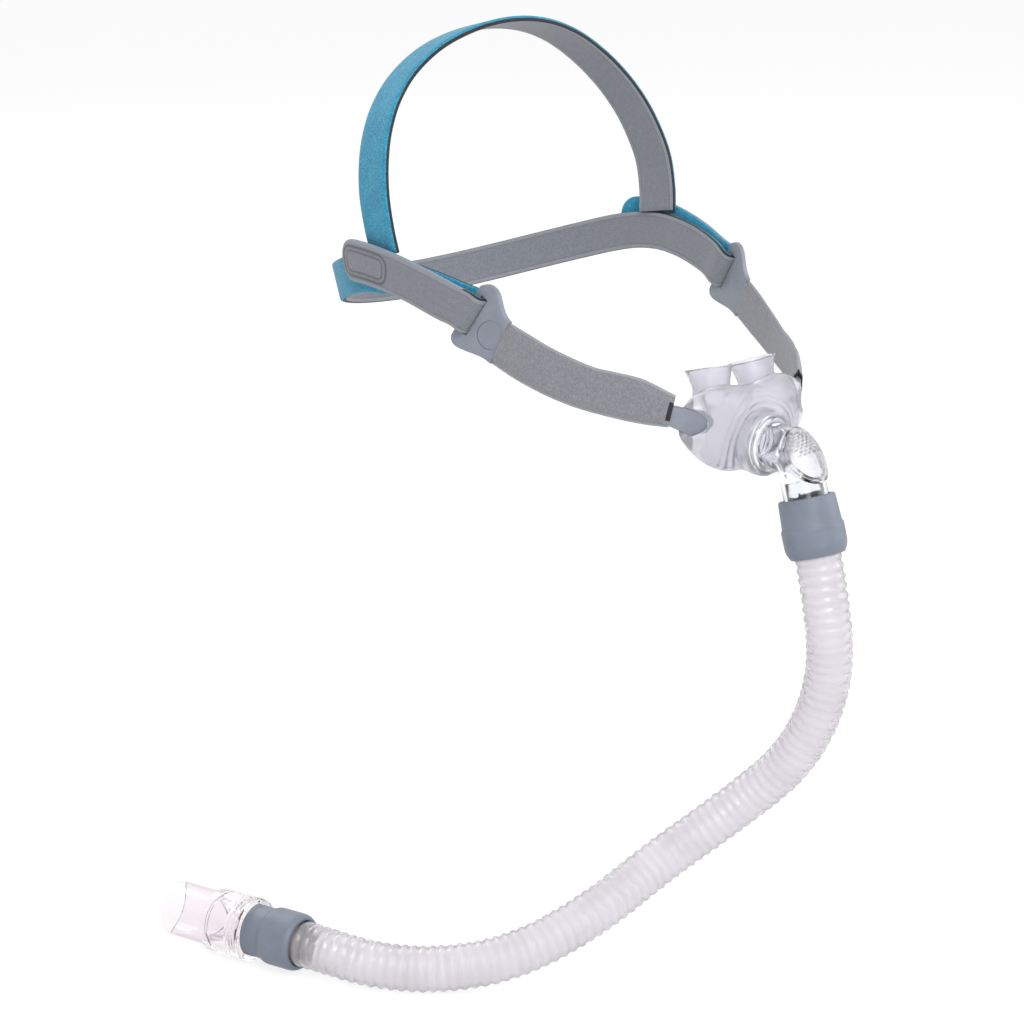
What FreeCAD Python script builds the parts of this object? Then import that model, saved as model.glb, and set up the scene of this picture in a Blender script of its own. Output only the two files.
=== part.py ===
# A nasal pillows mask with its headgear and short hose, in the shape it has when worn.
# Frame: +Z up, the wearer faces -Y, the wearer's right is -X. The origin is where the upper lip
# meets the nose, between the two pillows. All lengths are in millimetres, all angles in degrees.
import FreeCAD, Part
import Sketcher
import math
import os
from FreeCAD import Placement, Rotation, Vector

doc = FreeCAD.newDocument("nasal_pillows_mask")
sheet = doc.addObject("Spreadsheet::Sheet", "Sizes")

# Driving sizes: name, value, what it is
SIZES = [
    # Cushion: stations of its moulded body, from the middle out to the ear
    ("wall", 1.8, "wall of the silicone body"),
    ("mid_place", 0.0, "middle station, distance from the middle plane"),
    ("mid_back", 17.0, "middle station, distance in front of the origin"),
    ("mid_drop", 15.6, "middle station, distance below the origin"),
    ("mid_depth", 8.8, "middle station, half depth"),
    ("mid_height", 16.2, "middle station, half height"),
    ("lobe_place", 12.5, "lobe station, distance from the middle plane"),
    ("lobe_back", 16.2, "lobe station, distance in front"),
    ("lobe_drop", 14.6, "lobe station, distance below"),
    ("lobe_depth", 9.0, "lobe station, half depth"),
    ("lobe_height", 16.6, "lobe station, half height"),
    ("flank_place", 22.0, "flank station, distance from the middle plane"),
    ("flank_back", 15.0, "flank station, distance in front"),
    ("flank_drop", 12.6, "flank station, distance below"),
    ("flank_depth", 7.4, "flank station, half depth"),
    ("flank_height", 13.8, "flank station, half height"),
    ("ear_place", 29.0, "ear station, distance from the middle plane"),
    ("ear_back", 14.2, "ear station, distance in front"),
    ("ear_drop", 11.4, "ear station, distance below"),
    ("ear_depth", 4.6, "ear station, half depth"),
    ("ear_height", 8.6, "ear station, half height"),
    ("tip_place", 33.0, "outermost station, distance from the middle plane"),
    ("tip_depth", 1.8, "outermost station, half depth"),
    ("tip_height", 3.6, "outermost station, half height"),
    ("chamber_end", 24.0, "end of the air chamber, distance from the middle plane"),
    # Pillows: flared outlets on top of the cushion
    ("pillow_spacing", 12.2, "pillow axis, distance from the middle plane"),
    ("pillow_back", 9.6, "foot of the pillow, distance in front of the origin"),
    ("pillow_foot", -3.0, "foot of the pillow, height"),
    ("pillow_lean", 16.0, "lean of the pillow towards the face"),
    ("pillow_splay", 4.0, "lean of the pillow towards the middle"),
    ("pillow_height", 10.4, "height of the pillow along its axis"),
    ("pillow_foot_radius", 8.8, "radius at the foot"),
    ("pillow_neck_radius", 7.8, "radius at the neck"),
    ("pillow_rim_radius", 10.6, "radius at the flared rim"),
    ("pillow_oval", 0.86, "depth of the pillow as a share of its width"),
    ("pillow_wall", 1.1, "wall of the pillow"),
    # Front port and its ring
    ("port_drop", 20.5, "port axis, distance below the origin"),
    ("boss_radius", 12.6, "collar of the cushion round the port"),
    ("boss_front", 28.4, "front face of the collar, distance in front of the origin"),
    ("boss_rear", 21.8, "rear face of the collar inside the chamber"),
    ("ring_wall", 1.15, "wall of the port ring"),
    ("heel_radius", 12.1, "collar behind the port ring's rear flange"),
    ("ring_flange_radius", 11.5, "front flange of the port ring"),
    ("rear_flange_radius", 10.9, "rear flange of the port ring, inside the chamber"),
    ("ring_flange", 1.5, "thickness of each flange"),
    # Elbow
    ("elbow_radius", 8.6, "outside radius of the elbow tube"),
    ("elbow_wall", 1.4, "wall of the elbow tube"),
    ("elbow_corner", 42.6, "corner of the elbow's axis, distance in front of the origin"),
    ("elbow_turn", 72.0, "turn of the elbow"),
    ("elbow_bend", 10.5, "bend radius of the elbow's axis"),
    ("elbow_neck", 24.0, "length of the lower leg from the corner"),
    ("elbow_collar_radius", 10.4, "stop collar in front of the port ring"),
    ("elbow_collar", 1.6, "thickness of the stop collar"),
    ("elbow_lip", 0.55, "height of the snap lip behind the port ring"),
    ("elbow_lip_length", 1.6, "length of the snap lip"),
    ("hood_rise", 1.3, "rise of the vent's frame over the elbow tube"),
    ("vent_angle", 38.0, "middle of the vent, up from straight ahead"),
    ("vent_width", 18.2, "width of the oval vent, across the elbow"),
    ("vent_length", 22.4, "length of the oval vent, along the bend"),
    ("vent_border", 0.6, "frame round the vent"),
    ("ledge", 1.6, "ledge that the vent rests on"),
    ("vent_thickness", 1.05, "thickness of the vent"),
    ("vent_hole", 0.9, "diameter of each vent hole"),
    # Upper cuff and the nipple in it
    ("cuff_start", 17.5, "top of the upper cuff, along the lower leg from the corner"),
    ("cuff_length", 22.5, "length of the upper cuff"),
    ("cuff_wall", 2.2, "wall of the cuff over the elbow, at its top"),
    ("cuff_swell", 0.6, "how much the cuff widens down to its step"),
    ("cuff_ridge", 0.5, "height of the step round the cuff"),
    ("cuff_mouth_wall", 1.3, "wall of the cuff's mouth over the hose"),
    ("nipple_top", 11.0, "top of the nipple, along the lower leg"),
    ("nipple_bore", 6.0, "bore radius of the nipple"),
    ("nipple_flange", 1.5, "thickness of the nipple's flange"),
    # Hose
    ("hose_radius", 9.0, "outside radius of the corrugated hose"),
    ("hose_bore", 7.4, "inside radius of the hose"),
    # Lower cuff, swivel sleeve and connector
    ("lower_cuff_band", 15.0, "length of the wide band on the hose"),
    ("lower_cuff_length", 25.0, "length of the lower cuff"),
    ("lower_band_radius", 11.3, "radius of the wide band"),
    ("lower_nose_radius", 10.2, "radius of the narrow nose"),
    ("sleeve_radius", 8.1, "radius of the swivel sleeve"),
    ("sleeve_bore", 6.4, "bore radius of the swivel sleeve"),
    ("sleeve_flange_radius", 9.6, "flange of the swivel sleeve"),
    ("sleeve_flange", 1.2, "thickness of that flange"),
    ("sleeve_reach", 15.0, "length of the sleeve inside the connector"),
    ("collar_wall", 1.8, "wall of the connector's collar over the cuff's nose"),
    ("collar_length", 19.5, "length of the collar"),
    ("collar_overlap", 2.4, "how far the collar reaches over the cuff's nose"),
    ("collar_groove", 0.45, "depth of each groove round the collar"),
    ("groove_pitch", 2.0, "distance between those grooves"),
    ("spigot_radius", 11.0, "radius of the free spigot"),
    ("spigot_length", 21.0, "length of the free spigot"),
    ("spigot_wall", 1.5, "wall of the free spigot"),
    # Side arms: one moulding each, with a tab in front and a buckle behind
    ("arm_thickness", 2.0, "thickness of the arm, tab and buckle"),
    ("arm_width", 9.0, "width of the arm inside its sleeve"),
    ("stud_radius", 2.2, "radius of the stud that snaps into the cushion"),
    ("stud_length", 3.2, "length of that stud"),
    ("bar_width", 3.0, "width of the bar that the strap turns round"),
    ("sleeve_skin", 0.7, "fabric over the arm, each side"),
    ("buckle_recess", 0.35, "depth of the recess in the buckle's face"),
    ("dot_radius", 0.55, "radius of the raised dots that tell right from left"),
    ("dot_rise", 0.25, "height of those dots"),
    # Headgear
    ("strap_thickness", 2.5, "foam laminate of the straps"),
    ("tail_width", 17.0, "width of the folded front of the strap"),
    ("band_width", 15.5, "width of the strap round the back of the head"),
    ("crown_width", 19.0, "width of the strap over the head"),
    ("layer_gap", 1.4, "gap between the tail and the strap under it, for the hook tab"),
    ("hook_length", 23.0, "length of the hook tab"),
    ("hook_width", 10.0, "width of the hook tab"),
    ("hook_thickness", 0.8, "thickness of the hook tab"),
    # Clearances
    ("running", 0.08, "radial clearance of a turning fit"),
    ("seat", 0.1, "gap between pieces that are pressed or snapped together"),
    ("soft", 0.25, "gap between a soft piece and its neighbour"),
]


class Size:
    """A length or angle of the sheet, or a sum of some: its number, and its text as an expression."""

    def __init__(self, value, text):
        self.value = value
        self.text = text

    def __float__(self):
        return float(self.value)

    def _join(self, other, sign, value):
        return Size(value, "(%s %s %s)" % (self.text, sign, text_of(other)))

    def __add__(self, other):
        return self._join(other, "+", self.value + float(other))

    def __sub__(self, other):
        return self._join(other, "-", self.value - float(other))

    def __mul__(self, other):
        return self._join(other, "*", self.value * float(other))

    def __truediv__(self, other):
        return self._join(other, "/", self.value / float(other))

    def __neg__(self):
        return Size(-self.value, "(-1 * %s)" % self.text)


def text_of(value):
    return value.text if isinstance(value, Size) else repr(float(value))


class Named:
    """Gives each size of the sheet as an attribute of its own name."""


size = Named()
for row, (alias, number, meaning) in enumerate(SIZES, start=1):
    sheet.set("A%d" % row, meaning)
    sheet.set("B%d" % row, str(number))
    sheet.setAlias("B%d" % row, alias)
    setattr(size, alias, Size(number, "Sizes." + alias))
doc.recompute()


def sine(angle):
    return Size(math.sin(math.radians(float(angle))), "sin(%s * 1 deg)" % text_of(angle))


def cosine(angle):
    return Size(math.cos(math.radians(float(angle))), "cos(%s * 1 deg)" % text_of(angle))


def tangent(angle):
    return Size(math.tan(math.radians(float(angle))), "tan(%s * 1 deg)" % text_of(angle))


def bind(thing, path, value):
    """Ties one property, or one constraint of a sketch, to the sheet."""
    if isinstance(value, Size):
        thing.setExpression(path, value.text)


def place(x, y, z, rotation=Rotation()):
    return Placement(Vector(float(x), float(y), float(z)), rotation)


# Directions that the pieces share
FORWARD = Vector(0, -1, 0)
TURN = math.radians(float(size.elbow_turn))
LEG = Vector(0, -math.cos(TURN), -math.sin(TURN))
HOSE_END = Vector(-149.5, 72.0, -215.5)
HOSE_END_DIRECTION = Vector(-0.275, 0.961, 0).normalize()
CORNER = Vector(0, -float(size.elbow_corner), -float(size.port_drop))
BEND_SETBACK = size.elbow_bend * tangent(size.elbow_turn / 2)
BEND_CENTRE = CORNER - FORWARD * float(BEND_SETBACK) + Vector(0, 0, -float(size.elbow_bend))


def along(origin, direction):
    """A placement whose own Z axis points along a direction."""
    return Placement(origin, Rotation(Vector(0, 0, 1), direction))


def origin_plane(body, role):
    for feature in body.Origin.OriginFeatures:
        if feature.Role == role:
            return feature
    raise ValueError(role)


def new_body(label, placement):
    body = doc.addObject("PartDesign::Body", label)
    body.Label = label
    body.Placement = placement
    return body


def new_sketch(body, name, role="XZ_Plane", offset=None):
    sketch = body.newObject("Sketcher::SketchObject", name)
    sketch.AttachmentSupport = [(origin_plane(body, role), "")]
    sketch.MapMode = "FlatFace"
    if offset is not None:
        sketch.AttachmentOffset = offset
    return sketch


def fix_point(sketch, geometry, position, x, y, name):
    """Holds one point of a sketch at two named sizes, measured from the sketch's origin."""
    for kind, axis, value in (("DistanceX", -2, x), ("DistanceY", -1, y)):
        if not isinstance(value, Size) and float(value) == 0:
            sketch.addConstraint(Sketcher.Constraint("PointOnObject", geometry, position, axis))
            continue
        number = sketch.addConstraint(
            Sketcher.Constraint(kind, -1, 1, geometry, position, float(value)))
        label = name + kind[-1]
        sketch.renameConstraint(number, label)
        bind(sketch, "Constraints." + label, value)


def outline(sketch, points):
    """A closed outline of straight sides through points that are named sizes."""
    count = len(points)
    for i in range(count):
        a = Vector(float(points[i][0]), float(points[i][1]), 0)
        b = Vector(float(points[(i + 1) % count][0]), float(points[(i + 1) % count][1]), 0)
        sketch.addGeometry(Part.LineSegment(a, b), False)
    for i in range(count):
        sketch.addConstraint(Sketcher.Constraint("Coincident", i, 2, (i + 1) % count, 1))
    for i, (x, y) in enumerate(points):
        fix_point(sketch, i, 1, x, y, "p%d" % i)


def turned(label, placement, profile):
    """A piece turned about its own Z axis from a profile of (radius, height) points."""
    body = new_body(label, placement)
    sketch = new_sketch(body, label + "_profile")
    outline(sketch, profile)
    revolution = body.newObject("PartDesign::Revolution", label + "_turn")
    revolution.Profile = sketch
    revolution.ReferenceAxis = (sketch, ["V_Axis"])
    revolution.Angle = 360
    sketch.Visibility = False
    return body


def sector(sketch, low, high, inner, outer):
    """A ring sector about the sketch's origin. Angles go up from the sketch's -X side."""
    start, end = 180 - float(high), 180 - float(low)
    centre, normal = Vector(0, 0, 0), Vector(0, 0, 1)
    for radius in (outer, inner):
        circle = Part.Circle(centre, normal, float(radius))
        sketch.addGeometry(Part.ArcOfCircle(circle, math.radians(start), math.radians(end)), False)
    for angle in (start, end):
        ray = Vector(math.cos(math.radians(angle)), math.sin(math.radians(angle)), 0)
        sketch.addGeometry(Part.LineSegment(ray * float(inner), ray * float(outer)), False)
    for arc in (0, 1):
        sketch.addConstraint(Sketcher.Constraint("Coincident", arc, 3, -1, 1))
    for line, end_of_arc in ((2, 1), (3, 2)):
        sketch.addConstraint(Sketcher.Constraint("Coincident", line, 1, 1, end_of_arc))
        sketch.addConstraint(Sketcher.Constraint("Coincident", line, 2, 0, end_of_arc))
        sketch.addConstraint(Sketcher.Constraint("PointOnObject", -1, 1, line))
    for arc, radius, name in ((0, outer, "outer"), (1, inner, "inner")):
        number = sketch.addConstraint(Sketcher.Constraint("Radius", arc, float(radius)))
        sketch.renameConstraint(number, name)
        bind(sketch, "Constraints." + name, radius)
    for line, angle, name in ((2, high, "high"), (3, low, "low")):
        value = -(angle - 180)
        number = sketch.addConstraint(Sketcher.Constraint("Angle", line, math.radians(float(value))))
        sketch.renameConstraint(number, name)
        sketch.setExpression("Constraints." + name, "%s * 1 deg" % value.text)


def pad_across(body, name, sketch, width):
    """A pad of the sketch to both sides of the middle plane."""
    pad = body.newObject("PartDesign::Pad", name)
    pad.Profile = sketch
    pad.SideType = "Symmetric"
    pad.Length = float(width)
    bind(pad, "Length", width)
    sketch.Visibility = False
    return pad


def pocket_across(body, name, sketch, width):
    """A pocket of the sketch to both sides of the middle plane."""
    pocket = body.newObject("PartDesign::Pocket", name)
    pocket.Profile = sketch
    pocket.SideType = "Symmetric"
    pocket.Length = float(width)
    bind(pocket, "Length", width)
    sketch.Visibility = False
    return pocket


# Nasal cushion: a hollow moulded body with two flared pillows and a collar round the port
UPRIGHT = Rotation(Vector(0, 0, 1), Vector(0, 1, 0), Vector(-1, 0, 0), "XYZ")


def ellipse(name, x, y, z, major, minor, rotation):
    """An oval section whose larger radius comes first."""
    oval = doc.addObject("Part::Ellipse", name)
    oval.MajorRadius = float(major)
    oval.MinorRadius = float(minor)
    bind(oval, "MajorRadius", major)
    bind(oval, "MinorRadius", minor)
    oval.Placement = place(x, y, z, rotation)
    for path, value in (("x", x), ("y", y), ("z", z)):
        bind(oval, "Placement.Base." + path, value)
    return oval


def loft(name, sections, ruled=False):
    shape = doc.addObject("Part::Loft", name)
    shape.Sections = sections
    shape.Solid = True
    shape.Ruled = ruled
    return shape


def fuse(name, shapes):
    joined = doc.addObject("Part::MultiFuse", name)
    joined.Shapes = shapes
    return joined


def cut(name, base, tool):
    result = doc.addObject("Part::Cut", name)
    result.Base = base
    result.Tool = tool
    return result


def common(name, base, tool):
    result = doc.addObject("Part::Common", name)
    result.Base = base
    result.Tool = tool
    return result


def cylinder(name, radius, height, placement):
    solid = doc.addObject("Part::Cylinder", name)
    solid.Radius = float(radius)
    solid.Height = float(height)
    bind(solid, "Radius", radius)
    bind(solid, "Height", height)
    solid.Placement = placement
    return solid


def body_station(name, station, side, inset):
    """One oval station of the cushion body, drawn in by the wall for the chamber."""
    last = station == "tip"
    centre = "ear" if last else station
    x = getattr(size, station + "_place") * side
    y = -getattr(size, centre + "_back")
    z = -getattr(size, centre + "_drop")
    height = getattr(size, station + "_height") - inset
    depth = getattr(size, station + "_depth") - inset
    return ellipse(name, x, y, z, height, depth, UPRIGHT)


def cushion_body():
    sections = []
    for side, word in ((-1, "right"), (1, "left")):
        stations = ["tip", "ear", "flank", "lobe"]
        if side > 0:
            stations.reverse()
            sections.append(body_station("body_middle", "mid", 1, 0))
        sections += [body_station("body_%s_%s" % (s, word), s, side, 0) for s in stations]
    return loft("cushion_outside", sections)


def cushion_chamber():
    sections = []
    for side, word in ((-1, "right"), (1, "left")):
        end = ellipse("chamber_end_" + word, size.chamber_end * side, -size.flank_back, -size.flank_drop,
                      (size.flank_height - size.wall) / 2, (size.flank_depth - size.wall) / 2, UPRIGHT)
        middle = [body_station("chamber_flank_" + word, "flank", side, size.wall),
                  body_station("chamber_lobe_" + word, "lobe", side, size.wall)]
        if side < 0:
            sections += [end] + middle
        else:
            sections.append(body_station("chamber_middle", "mid", 1, size.wall))
            sections += middle[::-1] + [end]
    return loft("cushion_inside", sections)


def pillow_axis(side):
    """The frame of one pillow: its foot, and the way it points."""
    lean, splay = math.radians(float(size.pillow_lean)), math.radians(float(size.pillow_splay))
    direction = Vector(-side * math.sin(splay), math.sin(lean), math.cos(lean) * math.cos(splay))
    return along(Vector(side * float(size.pillow_spacing), -float(size.pillow_back),
                        float(size.pillow_foot)), direction)


def pillow_steps(hollow):
    """Distance along the pillow's axis, as a share of its height, and radius of each oval."""
    foot, neck, rim = size.pillow_foot_radius, size.pillow_neck_radius, size.pillow_rim_radius
    thin = size.pillow_wall
    if hollow:
        return [(-0.62, foot * 0.38), (-0.3, foot * 0.52), (0.02, foot * 0.9 - thin), (0.34, neck - thin),
                (0.58, neck * 1.08 - thin), (0.82, rim * 0.86 - thin), (1.06, rim - thin * 0.4)]
    return [(-0.5, foot * 0.7), (-0.12, foot * 0.94), (0.12, foot * 0.9), (0.34, neck),
            (0.58, neck * 1.08), (0.82, rim * 0.86), (1.0, rim)]


def pillow(side, word, hollow, name):
    """One flared pillow, or the outlet in it, as a loft of ovals."""
    frame = pillow_axis(side)
    sections = []
    for i, (share, wide) in enumerate(pillow_steps(hollow)):
        oval = doc.addObject("Part::Ellipse", "%s_%s_%d" % (name, word, i))
        oval.MajorRadius = float(wide)
        oval.MinorRadius = float(wide * size.pillow_oval)
        bind(oval, "MajorRadius", wide)
        bind(oval, "MinorRadius", wide * size.pillow_oval)
        oval.Placement = frame.multiply(place(0, 0, share * float(size.pillow_height)))
        sections.append(oval)
    return loft("%s_%s" % (name, word), sections)


# Cheek line: plan of the arms' outer face, from the tab to the buckle, on the +X side
CHEEK = [(23.5, -22.3), (26.5, -19.6), (34.0, -13.0), (44.0, -1.0), (54.0, 16.0), (62.0, 34.0),
         (68.0, 54.0), (71.5, 72.0), (73.2, 86.0)]


def cheek_curve(depth, side):
    """The cheek line moved in by a depth."""
    line = Part.BSplineCurve()
    line.interpolate([Vector(x, y, 0) for x, y in CHEEK])
    points = []
    for x, y in CHEEK:
        tangent_there = line.tangent(line.parameter(Vector(x, y, 0)))[0]
        inward = Vector(-tangent_there.y, tangent_there.x, 0)
        points.append(Vector(x, y, 0) + inward * depth)
    moved = Part.BSplineCurve()
    moved.interpolate([Vector(side * p.x, p.y, 0) for p in points])
    return moved


def cheek_normal(y, side):
    """Where the cheek line is at this y, and which way is out from it."""
    line = Part.BSplineCurve()
    line.interpolate([Vector(a, b, 0) for a, b in CHEEK])
    low, high = line.FirstParameter, line.LastParameter
    for _ in range(60):
        middle = (low + high) / 2
        if line.value(middle).y < y:
            low = middle
        else:
            high = middle
    point = line.value(low)
    direction = line.tangent(low)[0]
    outward = Vector(direction.y, -direction.x, 0).normalize()
    return Vector(side * point.x, point.y, 0), Vector(side * outward.x, outward.y, 0)


def cheek_layer(name, outer, inner, side, low=-60.0, high=80.0):
    """The upright layer that lies between two depths under the cheek line."""
    first, second = cheek_curve(float(outer), side), cheek_curve(float(inner), side)
    a, b = first.toShape(), second.toShape()
    ends = [(a.Vertexes[0].Point, b.Vertexes[0].Point), (a.Vertexes[-1].Point, b.Vertexes[-1].Point)]
    start = Part.makeLine(*ends[0])
    end = Part.makeLine(*ends[1])
    face = Part.Face(Part.Wire(Part.__sortEdges__([a, end, b, start])))
    face.translate(Vector(0, 0, low))
    layer = doc.addObject("Part::Feature", name)
    layer.Shape = face.extrude(Vector(0, 0, high - low))
    return layer


def side_prism(name, edges, side):
    """An outline in the side view, made a solid across one side of the head."""
    face = Part.Face(Part.Wire(Part.__sortEdges__(edges)))
    reach = 95.0
    prism = doc.addObject("Part::Feature", name)
    prism.Shape = face.extrude(Vector(side * reach, 0, 0))
    return prism


def spline_edge(points):
    curve = Part.BSplineCurve()
    curve.interpolate([Vector(0, y, z) for y, z in points])
    return curve.toShape()


def closed_spline_edge(points):
    curve = Part.BSplineCurve()
    curve.interpolate([Vector(0, y, z) for y, z in points], True)
    return curve.toShape()


def line_edge(a, b):
    return Part.makeLine(Vector(0, *a), Vector(0, *b))


def arc_edge(a, b, c):
    return Part.Arc(Vector(0, *a), Vector(0, *b), Vector(0, *c)).toShape()


# Side arm outline in the side view (y, z): tab, strip inside the sleeve, and buckle
TAB_TOP = [(-16.2, -5.2), (-10.2, -3.5)]
TAB_ROUND = (-20.0, -10.6)
TAB_BOTTOM = [(-10.2, -11.0), (-16.0, -14.6)]
TAB_CENTRE = (-15.6, -9.9)
STRIP_TOP = [(-10.2, -3.5), (6.5, 4.0), (22.0, 7.7), (37.0, 13.6), (48.8, 18.6)]
STRIP_BOTTOM = [(52.5, 10.9), (37.0, 4.5), (22.0, -1.3), (6.4, -5.0), (-10.2, -11.0)]
BUCKLE_TOP = [(46.7, 23.2), (49.6, 26.8), (50.9, 31.0), (52.6, 34.8), (56.0, 36.6), (59.5, 35.7)]
BUCKLE_RECESS = [(56.4, 22.7), (52.9, 22.8), (49.9, 20.4), (52.4, 12.4), (59.5, 13.2), (61.0, 17.0)]
BUCKLE_BOTTOM = [(73.7, 15.0), (73.2, 11.9), (69.5, 10.2), (62.7, 9.0), (54.9, 6.2)]
SLOT_TOP = (56.0, 30.5)
SLOT_LENGTH = 18.2
BAR_LEAN = math.radians(34.5)
BAR_ALONG = (math.sin(BAR_LEAN), -math.cos(BAR_LEAN))
BAR_BACK = (math.cos(BAR_LEAN), math.sin(BAR_LEAN))
SLEEVE_TOP = [(-12.6, 0.6), (-3.3, 6.2), (6.5, 8.4), (14.2, 9.8), (28.4, 15.1), (37.0, 19.0), (46.2, 23.0)]
SLEEVE_BOTTOM = [(54.4, 6.0), (40.7, 0.0), (22.5, -6.1), (6.4, -9.5), (-3.5, -11.1), (-10.6, -11.9)]
FOLD_RADIUS = float(size.bar_width) / 2 + 0.6
SLOT_WIDTH = float(size.strap_thickness) + 0.95
BAR_CENTRE_OFFSET = SLOT_WIDTH + float(size.bar_width) / 2


def shifted(point, along_bar, back):
    """A point of the side view moved along the bar and backwards from it."""
    return (point[0] + BAR_ALONG[0] * along_bar + BAR_BACK[0] * back,
            point[1] + BAR_ALONG[1] * along_bar + BAR_BACK[1] * back)


def lifted(points, rise):
    return [(y, z + rise) for y, z in points]


def tab_edges(grow):
    """The tab's rounded end, larger all round by a clearance, open towards the sleeve."""
    top = [(TAB_TOP[0][0], TAB_TOP[0][1] + grow), (TAB_TOP[1][0] + 8, TAB_TOP[1][1] + grow + 2.4)]
    bottom = [(TAB_BOTTOM[0][0] + 8, TAB_BOTTOM[0][1] - grow), (TAB_BOTTOM[1][0], TAB_BOTTOM[1][1] - grow)]
    nose = (TAB_ROUND[0] - grow, TAB_ROUND[1])
    return [line_edge(top[0], top[1]), line_edge(top[1], bottom[0]), line_edge(bottom[0], bottom[1]),
            arc_edge(bottom[1], nose, top[0])]


def arm_edges():
    return [line_edge(*TAB_TOP), spline_edge(STRIP_TOP), line_edge(STRIP_TOP[-1], BUCKLE_TOP[0]),
            spline_edge(BUCKLE_TOP), line_edge(BUCKLE_TOP[-1], BUCKLE_BOTTOM[0]),
            spline_edge(BUCKLE_BOTTOM), line_edge(BUCKLE_BOTTOM[-1], STRIP_BOTTOM[0]),
            spline_edge(STRIP_BOTTOM), line_edge(*TAB_BOTTOM),
            arc_edge(TAB_BOTTOM[1], TAB_ROUND, TAB_TOP[0])]


def slot_edges():
    corners = [SLOT_TOP, shifted(SLOT_TOP, SLOT_LENGTH, 0), shifted(SLOT_TOP, SLOT_LENGTH, SLOT_WIDTH),
               shifted(SLOT_TOP, 0, SLOT_WIDTH)]
    return [line_edge(corners[i], corners[(i + 1) % 4]) for i in range(4)]


def strip_channel_edges(gap):
    """The room for the strip inside the sleeve, run straight on past both ends of it."""
    top, bottom = lifted(STRIP_TOP, gap), lifted(STRIP_BOTTOM, -gap)
    front_top, front_bottom = (TAB_TOP[0][0], TAB_TOP[0][1] + gap), (TAB_BOTTOM[1][0], TAB_BOTTOM[1][1] - gap)
    back_top, back_bottom = (top[-1][0] + 11.0, top[-1][1] + 4.7), (bottom[0][0] + 7.0, bottom[0][1] + 2.9)
    return [line_edge(front_top, top[0]), spline_edge(top), line_edge(top[-1], back_top),
            line_edge(back_top, back_bottom), line_edge(back_bottom, bottom[0]), spline_edge(bottom),
            line_edge(bottom[-1], front_bottom), line_edge(front_bottom, front_top)]


SKIN = size.sleeve_skin
ARM_OUTER = SKIN
ARM_INNER = SKIN + size.arm_thickness
SLEEVE_INNER = ARM_INNER + SKIN


def side_arm(side, word):
    """Tab, strip and buckle of one side as a single moulding, with the stud behind the tab.
    One raised dot on the right tab and two on the left one tell the sides apart."""
    layer = cheek_layer("arm_layer_" + word, ARM_OUTER, ARM_INNER, side)
    plate = common("arm_plate_" + word, side_prism("arm_outline_" + word, arm_edges(), side), layer)
    slotted = cut("arm_slotted_" + word, plate, side_prism("arm_slot_" + word, slot_edges(), side))
    recess = common("buckle_recess_" + word,
                    side_prism("buckle_recess_outline_" + word, [closed_spline_edge(BUCKLE_RECESS)], side),
                    cheek_layer("buckle_recess_layer_" + word, -1.0, ARM_OUTER + size.buckle_recess, side))
    foot, outward = cheek_normal(TAB_CENTRE[0], side)
    foot = foot - outward * (float(ARM_INNER) - 0.4) + Vector(0, 0, TAB_CENTRE[1])
    stud = cylinder("stud_" + word, size.stud_radius, size.stud_length + 0.4, along(foot, -outward))
    dots = []
    for i, shift in enumerate((0.0,) if side < 0 else (-1.3, 1.3)):
        base, away = cheek_normal(TAB_CENTRE[0] + shift, side)
        base = base - away * (float(ARM_OUTER) + 0.3) + Vector(0, 0, TAB_CENTRE[1] + shift * 0.3)
        dots.append(cylinder("dot_%s_%d" % (word, i), size.dot_radius, size.dot_rise + 0.3, along(base, away)))
    return fuse("side_arm_" + word, [cut("arm_recessed_" + word, slotted, recess), stud] + dots)


def arm_sleeve(side, word):
    """The fabric tube over the strip."""
    ends = [line_edge(SLEEVE_TOP[-1], SLEEVE_BOTTOM[0]), line_edge(SLEEVE_BOTTOM[-1], SLEEVE_TOP[0])]
    edges = [spline_edge(SLEEVE_TOP), ends[0], spline_edge(SLEEVE_BOTTOM), ends[1]]
    outside = common("sleeve_outside_" + word, side_prism("sleeve_outline_" + word, edges, side),
                     cheek_layer("sleeve_layer_" + word, 0.0, SLEEVE_INNER, side))
    inside = common("sleeve_inside_" + word,
                    side_prism("sleeve_channel_" + word, strip_channel_edges(float(size.soft)), side),
                    cheek_layer("sleeve_room_" + word, ARM_OUTER - size.soft, ARM_INNER + size.soft, side))
    return cut("arm_sleeve_" + word, outside, inside)


# Nasal cushion
def port_cylinder(name, radius, rear, front):
    """A cylinder about the port's axis between two distances in front of the origin."""
    return cylinder(name, radius, front - rear,
                    along(Vector(0, -float(rear), -float(size.port_drop)), FORWARD))


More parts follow.
